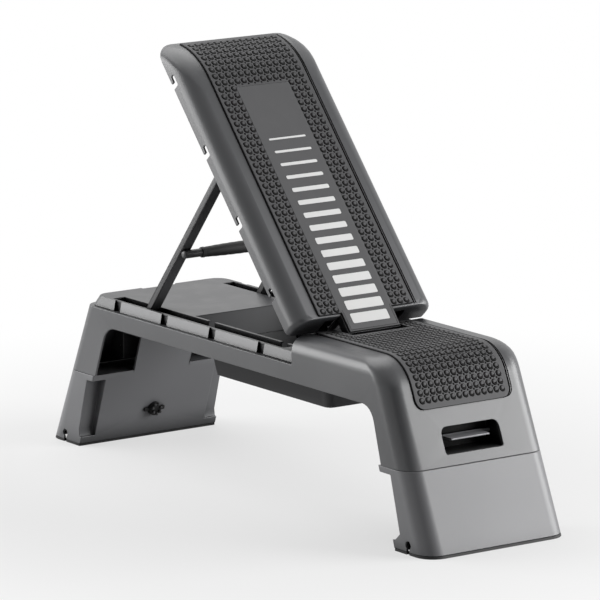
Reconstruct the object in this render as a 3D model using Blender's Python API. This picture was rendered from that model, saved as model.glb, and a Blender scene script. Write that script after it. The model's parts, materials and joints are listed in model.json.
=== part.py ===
"""Multi-use exercise step: an arched deck on two fold-in risers, with a seat end and a propped backrest.

Frame: +X towards the seat end, +Z up, origin on the floor under the middle of the deck. Metres.
"""
import math
from collections import namedtuple

import bmesh
import bpy
from mathutils import Matrix, Vector

# Overall sizes
BASE_LENGTH = 1.331
WIDTH = 0.346
RISER_HEIGHT = 0.160
LEDGE_Z = 0.308
SEAT_TOP_Z = 0.3625
LEG_LEAN = 0.438
CORNER_R = 0.040
WALL = 0.0045
GAP = 0.0003
RAIL_BOTTOM_Z = 0.272
HALF_LENGTH = BASE_LENGTH / 2
HALF_WIDTH = WIDTH / 2

# The two ends. Lengths named back are counted inwards from the tip of the leg on the floor.
End = namedtuple("End", "name sign hinge_back hinge_z arch_back arch_lean arch_r inner_back web_back web_z")
FRONT = End("front", 1, 0.1720, 0.229, 0.1545, 0.29, 0.040, 0.1095, 0.1455, 0.245)
REAR = End("rear", -1, 0.1975, 0.245, 0.1805, 0.38, 0.045, 0.1205, 0.1655, 0.262)

# Seat hood
HOOD_REAR_X = 0.213
SHOULDER_R = 0.028
HOOD_FRONT_R = 0.085

# Deck insert with its two strut grooves
INSERT_END_INSET = 0.010
INSERT_SIDE_INSET = 0.009
INSERT_BATTER = 0.004
INSERT_END_BATTER = 0.017
INSERT_TOP_Z = 0.330
INSERT_GAP = 0.0005
INSERT_WALL = 0.0035
OPENING_SIDE_INSET = 0.0165
OPENING_REAR_X = -0.490
OPENING_FRONT_X = 0.205
WELL_HALF_WIDTH = 0.117
WELL_REAR_X = -0.197
WELL_SLOPE_END_X = -0.130
WELL_SLOPE_END_Z = 0.250
WELL_SLOPE_HALF_WIDTH = 0.100
GROOVE_Y = 0.138
GROOVE_SIDE_ROOM = 0.002
GROOVE_FLOOR_ROOM = 0.0047
GROOVE_REAR_X = -0.445
GROOVE_END_ROOM = 0.030
ROD_NOTCH_ROOM = 0.003

# Storage tray
TRAY_BOTTOM_Z = 0.213
TRAY_REAR_X = -0.158
TRAY_FRONT_X = 0.238
TRAY_HALF_WIDTH = 0.098
TRAY_REAR_FLARE = 0.007
TRAY_FRONT_FLARE = 0.012
TRAY_SIDE_FLARE = 0.014
TRAY_CORNER_R = 0.016
TRAY_WALL = 0.003
TRAY_FLANGE_HALF_WIDTH = 0.150
TRAY_SCREW_R = 0.0035
TRAY_SCREW_LENGTH = 0.003

# Band slots in the insert rim and band hooks in the backrest skirt
BAND_FIRST_X = 0.095
BAND_PITCH = 0.170
BAND_COUNT = 4
BAND_SLOT_WIDTH = 0.022
BAND_SLOT_DEPTH = 0.0165
NOTCH_HALF_WIDTH = 0.043
NOTCH_DEPTH = 0.008
HOOK_MOUTH = 0.012
HOOK_DEPTH = 0.018
HOOK_UNDERCUT = 0.013
HOOK_THROAT = 0.010

# Backrest
HINGE_X = 0.245
HINGE_Z = 0.316
BACK_ANGLE = 48.7
BACK_TOP_Z = 0.3585
BACK_SIDE_INSET = 0.0025
BACK_SHOULDER_R = 0.032
BACK_ROLL_X = -0.398
BACK_HEAD_R = 0.165
BACK_FOOT_X = 0.180
BACK_FOOT_R = 0.012
BACK_END_R = 0.006
BACK_END_OPENING_Z = 0.347
BACK_END_OPENING_Y = 0.070
BACK_END_OPENING_WIDTH = 0.028
TONGUE_END_X = 0.218
TONGUE_HALF_WIDTH = 0.064
TONGUE_UNDER_Z = 0.340

# Mats
MAT_THICKNESS = 0.0032
MAT_CORNER_R = 0.004
SEAT_MAT_HALF_WIDTH = 0.114
SEAT_MAT_REAR_X = 0.217
SEAT_MAT_LOW_Z = 0.268
BACK_MAT_HALF_WIDTH = 0.116
BACK_MAT_FOOT_X = 0.171
PANEL_HALF_WIDTH = 0.065
PANEL_HEAD_X = -0.367
STRIP_INSET = 0.003
MAT_NOTCH_ROOM = 0.0012
PANEL_INSET = 0.004

# Backrest hinge
ARM_Y = 0.048
ARM_THICKNESS = 0.010
ARM_DEPTH = 0.020
ARM_TAIL_X = 0.060
EYE_R = 0.010
HINGE_PIN_R = 0.005
PIN_CLEARANCE = 0.0003
TURN_ROOM = 0.0055
BLOCK_SIDE_ROOM = 0.0048
BLOCK_FRONT_ROOM = 0.0029
BLOCK_WALL = 0.005
BLOCK_FLOOR_Z = 0.300

# Prop frame
PROP_X = -0.330
PROP_Z = 0.315
PROP_LENGTH = 0.452
ROD_UNDER_BACK = 0.0304
STRUT_DEPTH = 0.014
STRUT_WIDTH = 0.024
STRUT_END = 0.010
STRUT_TOP_END = 0.008
STRUT_WALL = 0.002
TOP_ROD_R = 0.008
FOOT_PIN_R = 0.005
HANDLE_ALONG = 0.199
HANDLE_ROD_R = 0.006
HANDLE_END_INSET = 0.0045
GRIP_HALF_LENGTH = 0.105
GRIP_END_R = 0.0105
GRIP_MIDDLE_R = 0.0130
CAP_LENGTH = 0.004
SLEEVE_R = 0.0085

# Catch rails under the backrest
CATCH_Y = 0.088
CATCH_WIDTH = 0.022
CATCH_WALL = 0.013
CATCH_DROP = 0.006
CATCH_RAMP = 16.0
CATCH_STRIP = 0.005
LOW_CATCH_X = 0.045
LOW_CATCH_Z = 0.324
LOW_CATCH_RISE = 0.012

# Risers
INNER_LEAN = 0.34
RISER_TOP_PLATE = 0.005
PANEL_SIDE_Y = 0.139
POCKET_TOP_DROP = 0.013
POCKET_TOP_INSET = 0.031
POCKET_LOW_Z = 0.036
POCKET_LOW_INSET = 0.062
POCKET_SILL_Z = 0.0205
TAB_HALF_WIDTH = 0.0705
TAB_THICKNESS = 0.006
TAB_FOOT_DROP = 0.010
RISER_BARREL_R = 0.009
RISER_PIN_R = 0.004
CARRIER_WALL = 0.004
CARRIER_R = 0.0105
CARRIER_GAP = 0.0035
CARRIER_STEP = 0.0004
FOOT_THICKNESS = 0.005
FOOT_WIDTH = 0.010
BAND_HOLE_R = 0.008
BAND_HOLE_BACK = 0.0655
BAND_HOLE_Z = 0.0185
BAND_HOLE_MOUTH = 0.008
KNOB_Z = 0.064
KNOB_R = 0.0155
KNOB_LENGTH = 0.010
KNOB_EAR = 0.025
KNOB_SPINDLE_R = 0.004

# Grip recesses and release levers
GRIP_HALF_WIDTH = 0.070
GRIP_LOW_Z = 0.181
GRIP_HIGH_Z = 0.231
GRIP_BACK = 0.136
GRIP_LOW_R = 0.005
GRIP_HIGH_R = 0.014
CUP_WALL = 0.003
LEVER_HALF_WIDTH = 0.0465
LEVER_Z = 0.205
LEVER_THICKNESS = 0.005
LEVER_FRONT_BACK = 0.0945
LEVER_PIVOT_BACK = 0.127
LEVER_BARREL_R = 0.004
LEVER_PIN_R = 0.002

# Values worked out from the sizes above
NORMAL = math.hypot(1, LEG_LEAN)
SLOPE = math.atan(LEG_LEAN)
RISER_TOP_Z = RISER_HEIGHT - GAP
RISER_LOW_Z = FOOT_THICKNESS + GAP
INSERT_HALF_WIDTH = HALF_WIDTH - INSERT_SIDE_INSET
INSERT_FRONT_X = HOOD_REAR_X - INSERT_GAP
OPENING_HALF_WIDTH = HALF_WIDTH - OPENING_SIDE_INSET
BACK_HALF_WIDTH = HALF_WIDTH - BACK_SIDE_INSET
BAND_SLOT_INNER_Y = HALF_WIDTH - BAND_SLOT_DEPTH
HANDLE_DROP = STRUT_DEPTH / 2 + SLEEVE_R + GAP
HANDLE_HALF_LENGTH = GROOVE_Y + STRUT_WIDTH / 2 - HANDLE_END_INSET
GROOVE_WIDTH = STRUT_WIDTH + 2 * GROOVE_SIDE_ROOM
GROOVE_FLOOR_Z = PROP_Z - HANDLE_DROP - SLEEVE_R - GROOVE_FLOOR_ROOM
GROOVE_FRONT_X = PROP_X + PROP_LENGTH + STRUT_TOP_END + GROOVE_END_ROOM
TRAY_TOP_Z = GROOVE_FLOOR_Z - INSERT_WALL - GAP
BACK_BOTTOM_Z = LEDGE_Z + GAP
BACK_UNDER_Z = BACK_TOP_Z - WALL - GAP
TONGUE_SWEEP = math.hypot(HINGE_X - TONGUE_END_X, BACK_TOP_Z + GAP + MAT_THICKNESS - HINGE_Z)
TURN_R = TONGUE_SWEEP + TURN_ROOM
BLOCK_INNER_Y = TONGUE_HALF_WIDTH + BLOCK_SIDE_ROOM
BLOCK_FRONT_X = HINGE_X + TONGUE_SWEEP + BLOCK_FRONT_ROOM
HINGE_PIN_HALF = BLOCK_INNER_Y + BLOCK_WALL - GAP
POCKET_TOP_Z = RISER_HEIGHT - POCKET_TOP_DROP
BAND_HOLE_X = HALF_LENGTH - BAND_HOLE_BACK
GRIP_BACK_X = HALF_LENGTH - GRIP_BACK
LEVER_FRONT_X = HALF_LENGTH - LEVER_FRONT_BACK
LEVER_PIVOT_X = HALF_LENGTH - LEVER_PIVOT_BACK
HINGE = Vector((HINGE_X, 0, HINGE_Z))
PROP_PIVOT = Vector((PROP_X, 0, PROP_Z))
ZERO = Vector((0, 0, 0))


def leg_x(z, depth=0.0):
    """The leaning outer face of a leg at height z, or a face that deep inside it."""
    return HALF_LENGTH - LEG_LEAN * z - depth * NORMAL


def inner_x(end, z):
    """Inner face of a riser at height z, x counted outwards from the middle of the deck."""
    return HALF_LENGTH - end.inner_back - INNER_LEAN * z


def hinge_of(end):
    """A riser's hinge line, drawn at the front end."""
    return Vector((HALF_LENGTH - end.hinge_back, 0, end.hinge_z))


def prop_angle():
    """The angle at which the prop's top rod lies its set depth under the raised backrest."""
    lean = math.radians(BACK_ANGLE)
    across = (PROP_X - HINGE_X) * math.sin(lean) + (PROP_Z - HINGE_Z) * math.cos(lean)
    height = BACK_TOP_Z - ROD_UNDER_BACK - HINGE_Z
    return 180 - math.degrees(math.asin((height - across) / PROP_LENGTH)) - BACK_ANGLE


# Modelling helpers

def make_material(name, color, roughness, metallic=0.0):
    material = bpy.data.materials.new(name)
    material.use_nodes = True
    shader = material.node_tree.nodes["Principled BSDF"]
    shader.inputs["Base Color"].default_value = (*color, 1.0)
    shader.inputs["Roughness"].default_value = roughness
    shader.inputs["Metallic"].default_value = metallic
    material.diffuse_color = (*color, 1.0)
    return material


def add_object(name, shape, material=None, parent=None, smooth=None):
    """Puts a bmesh into the scene as an object, normals outward."""
    bmesh.ops.recalc_face_normals(shape, faces=shape.faces[:])
    mesh = bpy.data.meshes.new(name)
    shape.to_mesh(mesh)
    shape.free()
    obj = bpy.data.objects.new(name, mesh)
    bpy.context.scene.collection.objects.link(obj)
    obj.parent = parent
    if material:
        mesh.materials.append(material)
    if smooth:
        mesh.shade_smooth()
        mesh.set_sharp_from_angle(angle=math.radians(smooth))
    return obj


def loft(loops):
    """Skins a stack of point loops of equal count and caps both ends."""
    bm = bmesh.new()
    rows = [[bm.verts.new(point) for point in loop] for loop in loops]
    for low, high in zip(rows, rows[1:]):
        for i in range(len(low)):
            j = (i + 1) % len(low)
            bm.faces.new((low[i], low[j], high[j], high[i]))
    bm.faces.new(rows[0])
    bm.faces.new(rows[-1])
    return bm


def slab(outline, *ends):
    """Extrudes an outline of (x, z) points along Y between two ends."""
    return loft([[(x, y, z) for x, z in outline] for y in sorted(ends)])


def block(low, high):
    """A box between two corners."""
    outline = [(low[0], low[2]), (high[0], low[2]), (high[0], high[2]), (low[0], high[2])]
    return slab(outline, low[1], high[1])


def arc(centre, radius, start, end, steps=6):
    """Points on an arc, angles in degrees from the first axis towards the second."""
    points = []
    for i in range(steps + 1):
        a = math.radians(start + (end - start) * i / steps)
        points.append((centre[0] + radius * math.cos(a), centre[1] + radius * math.sin(a)))
    return points


def plan_loop(rear_x, front_x, half_width, rear_r, front_r, z, steps=6):
    """A rounded rectangle seen from above, at height z."""
    corners = (
        (front_x - front_r, half_width - front_r, front_r, 0),
        (rear_x + rear_r, half_width - rear_r, rear_r, 90),
        (rear_x + rear_r, rear_r - half_width, rear_r, 180),
        (front_x - front_r, front_r - half_width, front_r, 270),
    )
    loop = []
    for x, y, radius, start in corners:
        loop += [(px, py, z) for px, py in arc((x, y), radius, start, start + 90, steps)]
    return loop


def turned(rings, segments=20):
    """A round piece about the Y axis from (y, radius) rings."""
    loops = []
    for y, radius in rings:
        angles = [2 * math.pi * i / segments for i in range(segments)]
        loops.append([(radius * math.cos(a), y, radius * math.sin(a)) for a in angles])
    return loft(loops)


def moved(shape, offset):
    bmesh.ops.translate(shape, verts=shape.verts[:], vec=offset)
    return shape


def rod(start, end, radius, at=ZERO, segments=20):
    """A round bar along Y."""
    return moved(turned([(y, radius) for y in sorted((start, end))], segments), at)


def flipped(shape, end):
    """Turns a piece drawn for the front end into the one for the given end."""
    bmesh.ops.scale(shape, verts=shape.verts[:], vec=(end.sign, 1, 1))
    return shape


def both_sides(near, far):
    """The same stretch of Y on the right and on the left."""
    return ((-near, -far), (near, far))


def boolean(obj, shape, operation="DIFFERENCE"):
    """Adds a Boolean with its own hidden cutter."""
    cutter = add_object(obj.name + "_cut", shape, parent=obj.parent)
    cutter.hide_render = True
    cutter.display_type = "WIRE"
    modifier = obj.modifiers.new("cut", "BOOLEAN")
    modifier.object = cutter
    modifier.operation = operation
    modifier.solver = "EXACT"
    return obj


def join(obj, shape):
    return boolean(obj, shape, "UNION")


def add_empty(name, location, turn_y=0.0, parent=None):
    empty = bpy.data.objects.new(name, None)
    empty.parent = parent
    empty.location = location
    empty.rotation_euler = (0, math.radians(turn_y), 0)
    bpy.context.scene.collection.objects.link(empty)
    return empty


def from_hinge(shape):
    """Moves a piece drawn on the flat backrest to the frame of the backrest hinge."""
    return moved(shape, -HINGE)


# Base shell

def hood_front_x(z, inset):
    """Front of the seat hood at height z: the leaning face, then the large top radius."""
    radius = HOOD_FRONT_R - inset
    centre_z = SEAT_TOP_Z - HOOD_FRONT_R
    if z <= centre_z + radius * math.sin(SLOPE):
        return leg_x(z, inset)
    rise = min(z - centre_z, radius)
    return leg_x(centre_z, HOOD_FRONT_R) + math.sqrt(radius * radius - rise * rise)


def shoulder_width(z, inset):
    """Half width of the hood's rounded shoulder at height z."""
    radius = SHOULDER_R - inset
    rise = z - (SEAT_TOP_Z - SHOULDER_R)
    if rise <= 0:
        return HALF_WIDTH - inset
    return HALF_WIDTH - SHOULDER_R + math.sqrt(max(radius * radius - rise * rise, 0))


def hood_solid(low_z, inset):
    radius = HOOD_FRONT_R - inset
    rise = [z for _, z in arc((0, SEAT_TOP_Z - HOOD_FRONT_R), radius, math.degrees(SLOPE), 90, 9)]
    loops = []
    for z in [low_z] + rise:
        front = hood_front_x(z, inset)
        half = shoulder_width(z, inset)
        loops.append(plan_loop(HOOD_REAR_X + inset, front, half, 0.004, CORNER_R - inset, z))
    return loft(loops)


def leg_block(low_z, high_z, inset):
    """The whole lower body between two heights, taken in by a wall."""
    radius = CORNER_R - inset
    loops = []
    for z in (low_z, high_z):
        end = leg_x(z, inset)
        loops.append(plan_loop(-end, end, HALF_WIDTH - inset, radius, radius, z))
    return loft(loops)


def arch_side(end):
    """Inner edge of one leg, from below the riser seam up to the rails."""
    foot = HALF_LENGTH - end.arch_back + end.arch_lean * RISER_HEIGHT
    centre_z = RAIL_BOTTOM_Z - end.arch_r
    centre_x = foot - end.arch_lean * centre_z - end.arch_r * math.hypot(1, end.arch_lean)
    start = math.degrees(math.atan(end.arch_lean))
    low_z = RISER_HEIGHT - 0.06
    points = [(foot - end.arch_lean * low_z, low_z)] + arc((centre_x, centre_z), end.arch_r, start, 90)
    return [(end.sign * x, z) for x, z in points]


def turning_room(half_width):
    """Room for the backrest tongue to turn in, open upwards and to the rear."""
    high_z = SEAT_TOP_Z + 0.01
    lift = math.degrees(math.asin((SEAT_TOP_Z - HINGE_Z) / TURN_R))
    curve = arc((HINGE_X, HINGE_Z), TURN_R, 0, lift, 8)
    outline = [(HOOD_REAR_X - 0.01, LEDGE_Z + 0.001), (HINGE_X + TURN_R, LEDGE_Z + 0.001)]
    outline += curve + [(curve[-1][0], high_z), (HOOD_REAR_X - 0.01, high_z)]
    return slab(outline, -half_width, half_width)


def grip_opening():
    """The hole of a grip recess through a leaning end wall."""
    flat = plan_loop(GRIP_LOW_Z, GRIP_HIGH_Z, GRIP_HALF_WIDTH, GRIP_LOW_R, GRIP_HIGH_R, 0, 4)
    return loft([[(x, y, z) for z, y, _ in flat] for x in (GRIP_BACK_X + 0.02, HALF_LENGTH)])


def build_base_shell(material):
    shell = add_object("base_shell", leg_block(RISER_HEIGHT, LEDGE_Z, 0), material, smooth=30)
    join(shell, hood_solid(LEDGE_Z - 0.02, 0))
    boolean(shell, leg_block(RISER_HEIGHT - 0.02, LEDGE_Z - WALL, WALL))
    boolean(shell, hood_solid(LEDGE_Z - 0.03, WALL))
    arch = arch_side(FRONT) + list(reversed(arch_side(REAR)))
    boolean(shell, slab(arch, -HALF_WIDTH - 0.02, HALF_WIDTH + 0.02))
    low = (OPENING_REAR_X, -OPENING_HALF_WIDTH, LEDGE_Z - 0.02)
    boolean(shell, block(low, (OPENING_FRONT_X, OPENING_HALF_WIDTH, LEDGE_Z + 0.002)))
    boolean(shell, turning_room(BLOCK_INNER_Y - GAP))
    for end in (FRONT, REAR):
        boolean(shell, flipped(grip_opening(), end))


# Deck insert

def insert_block(low_z, high_z, inset):
    base = LEDGE_Z + GAP
    radius = CORNER_R - INSERT_END_INSET - inset
    loops = []
    for z in (low_z, high_z):
        share = (z - base) / (INSERT_TOP_Z - base)
        rear = INSERT_END_INSET + INSERT_END_BATTER * share + inset - leg_x(LEDGE_Z)
        half = INSERT_HALF_WIDTH - INSERT_BATTER * share - inset
        loops.append(plan_loop(rear, INSERT_FRONT_X - inset, half, radius, 0.002, z))
    return loft(loops)


def cross_rods():
    """Where the folded frame's two cross rods lie, with their radii."""
    return (
        (PROP_X + HANDLE_ALONG, PROP_Z - HANDLE_DROP, SLEEVE_R),
        (PROP_X + PROP_LENGTH, PROP_Z, TOP_ROD_R),
    )


def upright_box(rear, front, low, high):
    """Outline of a box seen from the side."""
    return [(rear, low), (front, low), (front, high), (rear, high)]


def add_grooves(insert):
    near = GROOVE_Y - GROOVE_WIDTH / 2
    far = GROOVE_Y + GROOVE_WIDTH / 2
    wall = INSERT_WALL
    rear, front, floor = GROOVE_REAR_X, GROOVE_FRONT_X, GROOVE_FLOOR_Z
    trough = upright_box(rear - wall, front + wall, floor - wall, INSERT_TOP_Z - 0.001)
    for ends in both_sides(near - wall, far + wall):
        join(insert, slab(trough, *ends))
    for ends in both_sides(near, far):
        boolean(insert, slab(upright_box(rear, front, floor, INSERT_TOP_Z + 0.01), *ends))


def add_well_slope(insert):
    """A sloping plate that leads down from the deck into the tray."""
    run = (WELL_SLOPE_END_X - WELL_REAR_X) / (INSERT_TOP_Z - WELL_SLOPE_END_Z)
    thick = TRAY_WALL * math.hypot(1, run)

    def slope_x(z):
        return WELL_REAR_X + run * (INSERT_TOP_Z - z)

    top, middle, low = INSERT_TOP_Z - 0.0005, TRAY_TOP_Z + 0.0015, WELL_SLOPE_END_Z
    under = top - 0.0025
    root = WELL_REAR_X - 0.008
    upper = [(root, top), (slope_x(top), top), (slope_x(middle), middle), (slope_x(middle) - thick, middle)]
    upper += [(slope_x(under) - thick, under), (root, under)]
    half = GROOVE_Y - GROOVE_WIDTH / 2 - 0.001
    join(insert, slab(upper, -half, half))
    high, thin = middle + 0.004, 0.0004
    lower = [(slope_x(high) - thick + thin, high), (slope_x(high) - thin, high)]
    lower += [(slope_x(low) - thin, low), (slope_x(low) - thick + thin, low)]
    join(insert, slab(lower, -WELL_SLOPE_HALF_WIDTH, WELL_SLOPE_HALF_WIDTH))


def add_rear_notch(insert):
    """A shallow finger notch in the middle of the rear rim, with a wall behind it."""
    base = LEDGE_Z + GAP

    def rim_x(z, depth):
        share = (z - base) / (INSERT_TOP_Z - base)
        return INSERT_END_INSET + INSERT_END_BATTER * share - leg_x(LEDGE_Z) + depth

    low, high = base + 0.001, INSERT_TOP_Z - 0.001
    back = NOTCH_DEPTH + INSERT_WALL
    wall = [(rim_x(low, 0.002), low), (rim_x(low, back), low)]
    wall += [(rim_x(high, back), high), (rim_x(high, 0.002), high)]
    half = NOTCH_HALF_WIDTH + INSERT_WALL
    join(insert, slab(wall, -half, half))
    low, high = LEDGE_Z - 0.01, INSERT_TOP_Z + 0.01
    room = [(rim_x(low, -0.02), low), (rim_x(low, NOTCH_DEPTH), low)]
    room += [(rim_x(high, NOTCH_DEPTH), high), (rim_x(high, -0.02), high)]
    boolean(insert, slab(room, -NOTCH_HALF_WIDTH, NOTCH_HALF_WIDTH))


def band_stations():
    return [BAND_FIRST_X - BAND_PITCH * i for i in range(BAND_COUNT)]


def build_deck_insert(material):
    insert = add_object("deck_insert", insert_block(LEDGE_Z + GAP, INSERT_TOP_Z, 0), material, smooth=30)
    boolean(insert, insert_block(LEDGE_Z - 0.01, INSERT_TOP_Z - INSERT_WALL, INSERT_WALL))
    add_grooves(insert)
    low = (WELL_REAR_X, -WELL_HALF_WIDTH, LEDGE_Z - 0.01)
    boolean(insert, block(low, (OPENING_FRONT_X, WELL_HALF_WIDTH, INSERT_TOP_Z + 0.01)))
    add_well_slope(insert)
    add_rear_notch(insert)
    for x, z, radius in cross_rods():
        room = radius + ROD_NOTCH_ROOM
        notch = upright_box(x - room, x + room, z - room, INSERT_TOP_Z + 0.01)
        for ends in both_sides(WELL_HALF_WIDTH - 0.001, GROOVE_Y):
            boolean(insert, slab(notch, *ends))
    reach = GROOVE_WIDTH / 2 + INSERT_WALL + 0.001
    for ends in both_sides(GROOVE_Y - reach, GROOVE_Y + reach):
        boolean(insert, rod(*ends, FOOT_PIN_R + PIN_CLEARANCE, PROP_PIVOT))
    half = BAND_SLOT_WIDTH / 2
    for x in band_stations():
        slot = upright_box(x - half, x + half, LEDGE_Z - 0.001, INSERT_TOP_Z + 0.01)
        for ends in both_sides(BAND_SLOT_INNER_Y, HALF_WIDTH):
            boolean(insert, slab(slot, *ends))


# Storage tray

def tray_block(inset, low_z, high_z):
    radius = TRAY_CORNER_R - inset
    loops = []
    for z in (low_z, high_z):
        share = (z - TRAY_BOTTOM_Z) / (TRAY_TOP_Z - TRAY_BOTTOM_Z)
        rear = TRAY_REAR_X - TRAY_REAR_FLARE * share + inset
        front = TRAY_FRONT_X + TRAY_FRONT_FLARE * share - inset
        half = TRAY_HALF_WIDTH + TRAY_SIDE_FLARE * share - inset
        loops.append(plan_loop(rear, front, half, radius, radius, z, 4))
    return loft(loops)


def build_tray(material):
    tray = add_object("storage_tray", tray_block(0, TRAY_BOTTOM_Z, TRAY_TOP_Z), material, smooth=30)
    low = (TRAY_REAR_X - TRAY_REAR_FLARE, -TRAY_FLANGE_HALF_WIDTH, TRAY_TOP_Z - TRAY_WALL)
    join(tray, block(low, (GROOVE_FRONT_X, TRAY_FLANGE_HALF_WIDTH, TRAY_TOP_Z)))
    boolean(tray, tray_block(TRAY_WALL, TRAY_BOTTOM_Z + TRAY_WALL, TRAY_TOP_Z + 0.01))


def build_tray_screws(material):
    """Screw heads under the flange, one near each corner."""
    top = TRAY_TOP_Z - TRAY_WALL - GAP
    number = 0
    for x in (TRAY_REAR_X + 0.02, GROOVE_FRONT_X - 0.02):
        for y in (-GROOVE_Y, GROOVE_Y):
            number += 1
            loops = []
            for radius, z in ((TRAY_SCREW_R * 0.7, top - TRAY_SCREW_LENGTH), (TRAY_SCREW_R, top)):
                loops.append([(px, py, z) for px, py in arc((x, y), radius, 0, 330, 11)])
            add_object(f"tray_screw_{number}", loft(loops), material, smooth=40)


# Seat

def build_seat_mat(material):
    """A mat that runs along the seat and wraps down over its front."""
    centre_z = SEAT_TOP_Z - HOOD_FRONT_R
    centre = (leg_x(centre_z, HOOD_FRONT_R), centre_z)

    def line(offset):
        curve = arc(centre, HOOD_FRONT_R + offset, math.degrees(SLOPE), 90, 9)
        return [(leg_x(SEAT_MAT_LOW_Z, -offset), SEAT_MAT_LOW_Z)] + curve + [(SEAT_MAT_REAR_X, SEAT_TOP_Z + offset)]

    outline = line(GAP) + list(reversed(line(GAP + MAT_THICKNESS)))
    strip = slab(outline, -SEAT_MAT_HALF_WIDTH, SEAT_MAT_HALF_WIDTH)
    mat = add_object("seat_mat", strip, material, smooth=30)
    room = BLOCK_INNER_Y + MAT_NOTCH_ROOM
    lift = math.sqrt(TURN_R ** 2 - (SEAT_TOP_Z - HINGE_Z) ** 2)
    low = (SEAT_MAT_REAR_X - 0.01, -room, SEAT_TOP_Z - 0.01)
    boolean(mat, block(low, (HINGE_X + lift + MAT_NOTCH_ROOM, room, SEAT_TOP_Z + 0.01)))


# Backrest, drawn lying flat on the deck and turned up about its hinge

def head_angles():
    """Roll angles of the head end's large radius, from its lower rim up to the level top."""
    low = math.degrees(math.asin((BACK_BOTTOM_Z - BACK_TOP_Z) / BACK_HEAD_R + 1))
    return [low + (90 - low) * i / 10 for i in range(11)]


def back_block(inset):
    """The backrest's outer form, taken in by a wall: large radius at the head, small ones elsewhere."""
    radius = BACK_SHOULDER_R - inset
    reach = BACK_HEAD_R - inset
    centre_z = BACK_TOP_Z - BACK_HEAD_R
    levels = [centre_z + reach * math.sin(math.radians(a)) for a in head_angles()]
    if inset:
        levels.insert(0, BACK_BOTTOM_Z - 0.01)
    loops = []
    for z in levels:
        rise = max(z - (BACK_TOP_Z - BACK_SHOULDER_R), 0)
        share = 1 - math.sqrt(max(1 - (rise / radius) ** 2, 0))
        half = BACK_HALF_WIDTH - inset - radius * share
        foot = BACK_FOOT_X - inset - (BACK_END_R - inset) * share
        head = BACK_ROLL_X - math.sqrt(max(reach * reach - (z - centre_z) ** 2, 0))
        loops.append(plan_loop(head, foot, half, CORNER_R - inset, BACK_FOOT_R - inset, z))
    return from_hinge(loft(loops))


def hook_outline(x):
    """A J-shaped band hook: a mouth at the lower edge and a throat towards the head."""
    low = BACK_BOTTOM_Z - 0.006
    top = BACK_BOTTOM_Z + HOOK_DEPTH
    front = x + HOOK_MOUTH / 2
    rear = x - HOOK_MOUTH / 2
    bevel = 0.003
    return [
        (front, low), (front, top - bevel), (front - bevel, top),
        (rear - HOOK_UNDERCUT + bevel, top), (rear - HOOK_UNDERCUT, top - bevel),
        (rear - HOOK_UNDERCUT, top - HOOK_THROAT), (rear, top - HOOK_THROAT), (rear, low),
    ]


def build_backrest_shell(axis, material):
    shell = add_object("backrest_shell", back_block(0), material, axis, smooth=30)
    boolean(shell, back_block(WALL))
    room = upright_box(BACK_FOOT_X - 0.03, BACK_FOOT_X + 0.01, BACK_BOTTOM_Z - 0.01, BACK_END_OPENING_Z)
    for ends in both_sides(BACK_END_OPENING_Y, BACK_END_OPENING_Y + BACK_END_OPENING_WIDTH):
        boolean(shell, from_hinge(slab(room, *ends)))
    low = (BACK_FOOT_X - 0.03, -TONGUE_HALF_WIDTH, TONGUE_UNDER_Z)
    join(shell, from_hinge(block(low, (TONGUE_END_X, TONGUE_HALF_WIDTH, BACK_TOP_Z))))
    for x in band_stations():
        for ends in both_sides(BACK_HALF_WIDTH - WALL - 0.001, HALF_WIDTH + 0.01):
            boolean(shell, from_hinge(slab(hook_outline(x), *ends)))
    half = ARM_THICKNESS / 2 + GAP
    slot = upright_box(BACK_FOOT_X - 0.04, TONGUE_END_X + 0.01, BACK_BOTTOM_Z - 0.01, BACK_UNDER_Z + GAP)
    for ends in both_sides(ARM_Y - half, ARM_Y + half):
        boolean(shell, from_hinge(slab(slot, *ends)))


def flat_piece(outline, margin=0.0):
    """A thin piece on top of the backrest from an outline seen from above."""
    levels = (BACK_TOP_Z + GAP - margin, BACK_TOP_Z + GAP + MAT_THICKNESS + margin)
    return from_hinge(loft([[(x, y, z) for x, y in outline] for z in levels]))


def panel_outline(grow):
    """The smooth middle panel, which runs out along the tongue."""
    wide = PANEL_HALF_WIDTH + grow
    narrow = TONGUE_HALF_WIDTH - STRIP_INSET - PANEL_INSET + grow
    head = PANEL_HEAD_X - grow
    step = BACK_MAT_FOOT_X - PANEL_INSET + grow
    end = TONGUE_END_X - 0.002 - PANEL_INSET + grow
    left = [(head, wide), (step, wide), (step, narrow), (end, narrow)]
    return left + [(x, -y) for x, y in reversed(left)]


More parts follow.
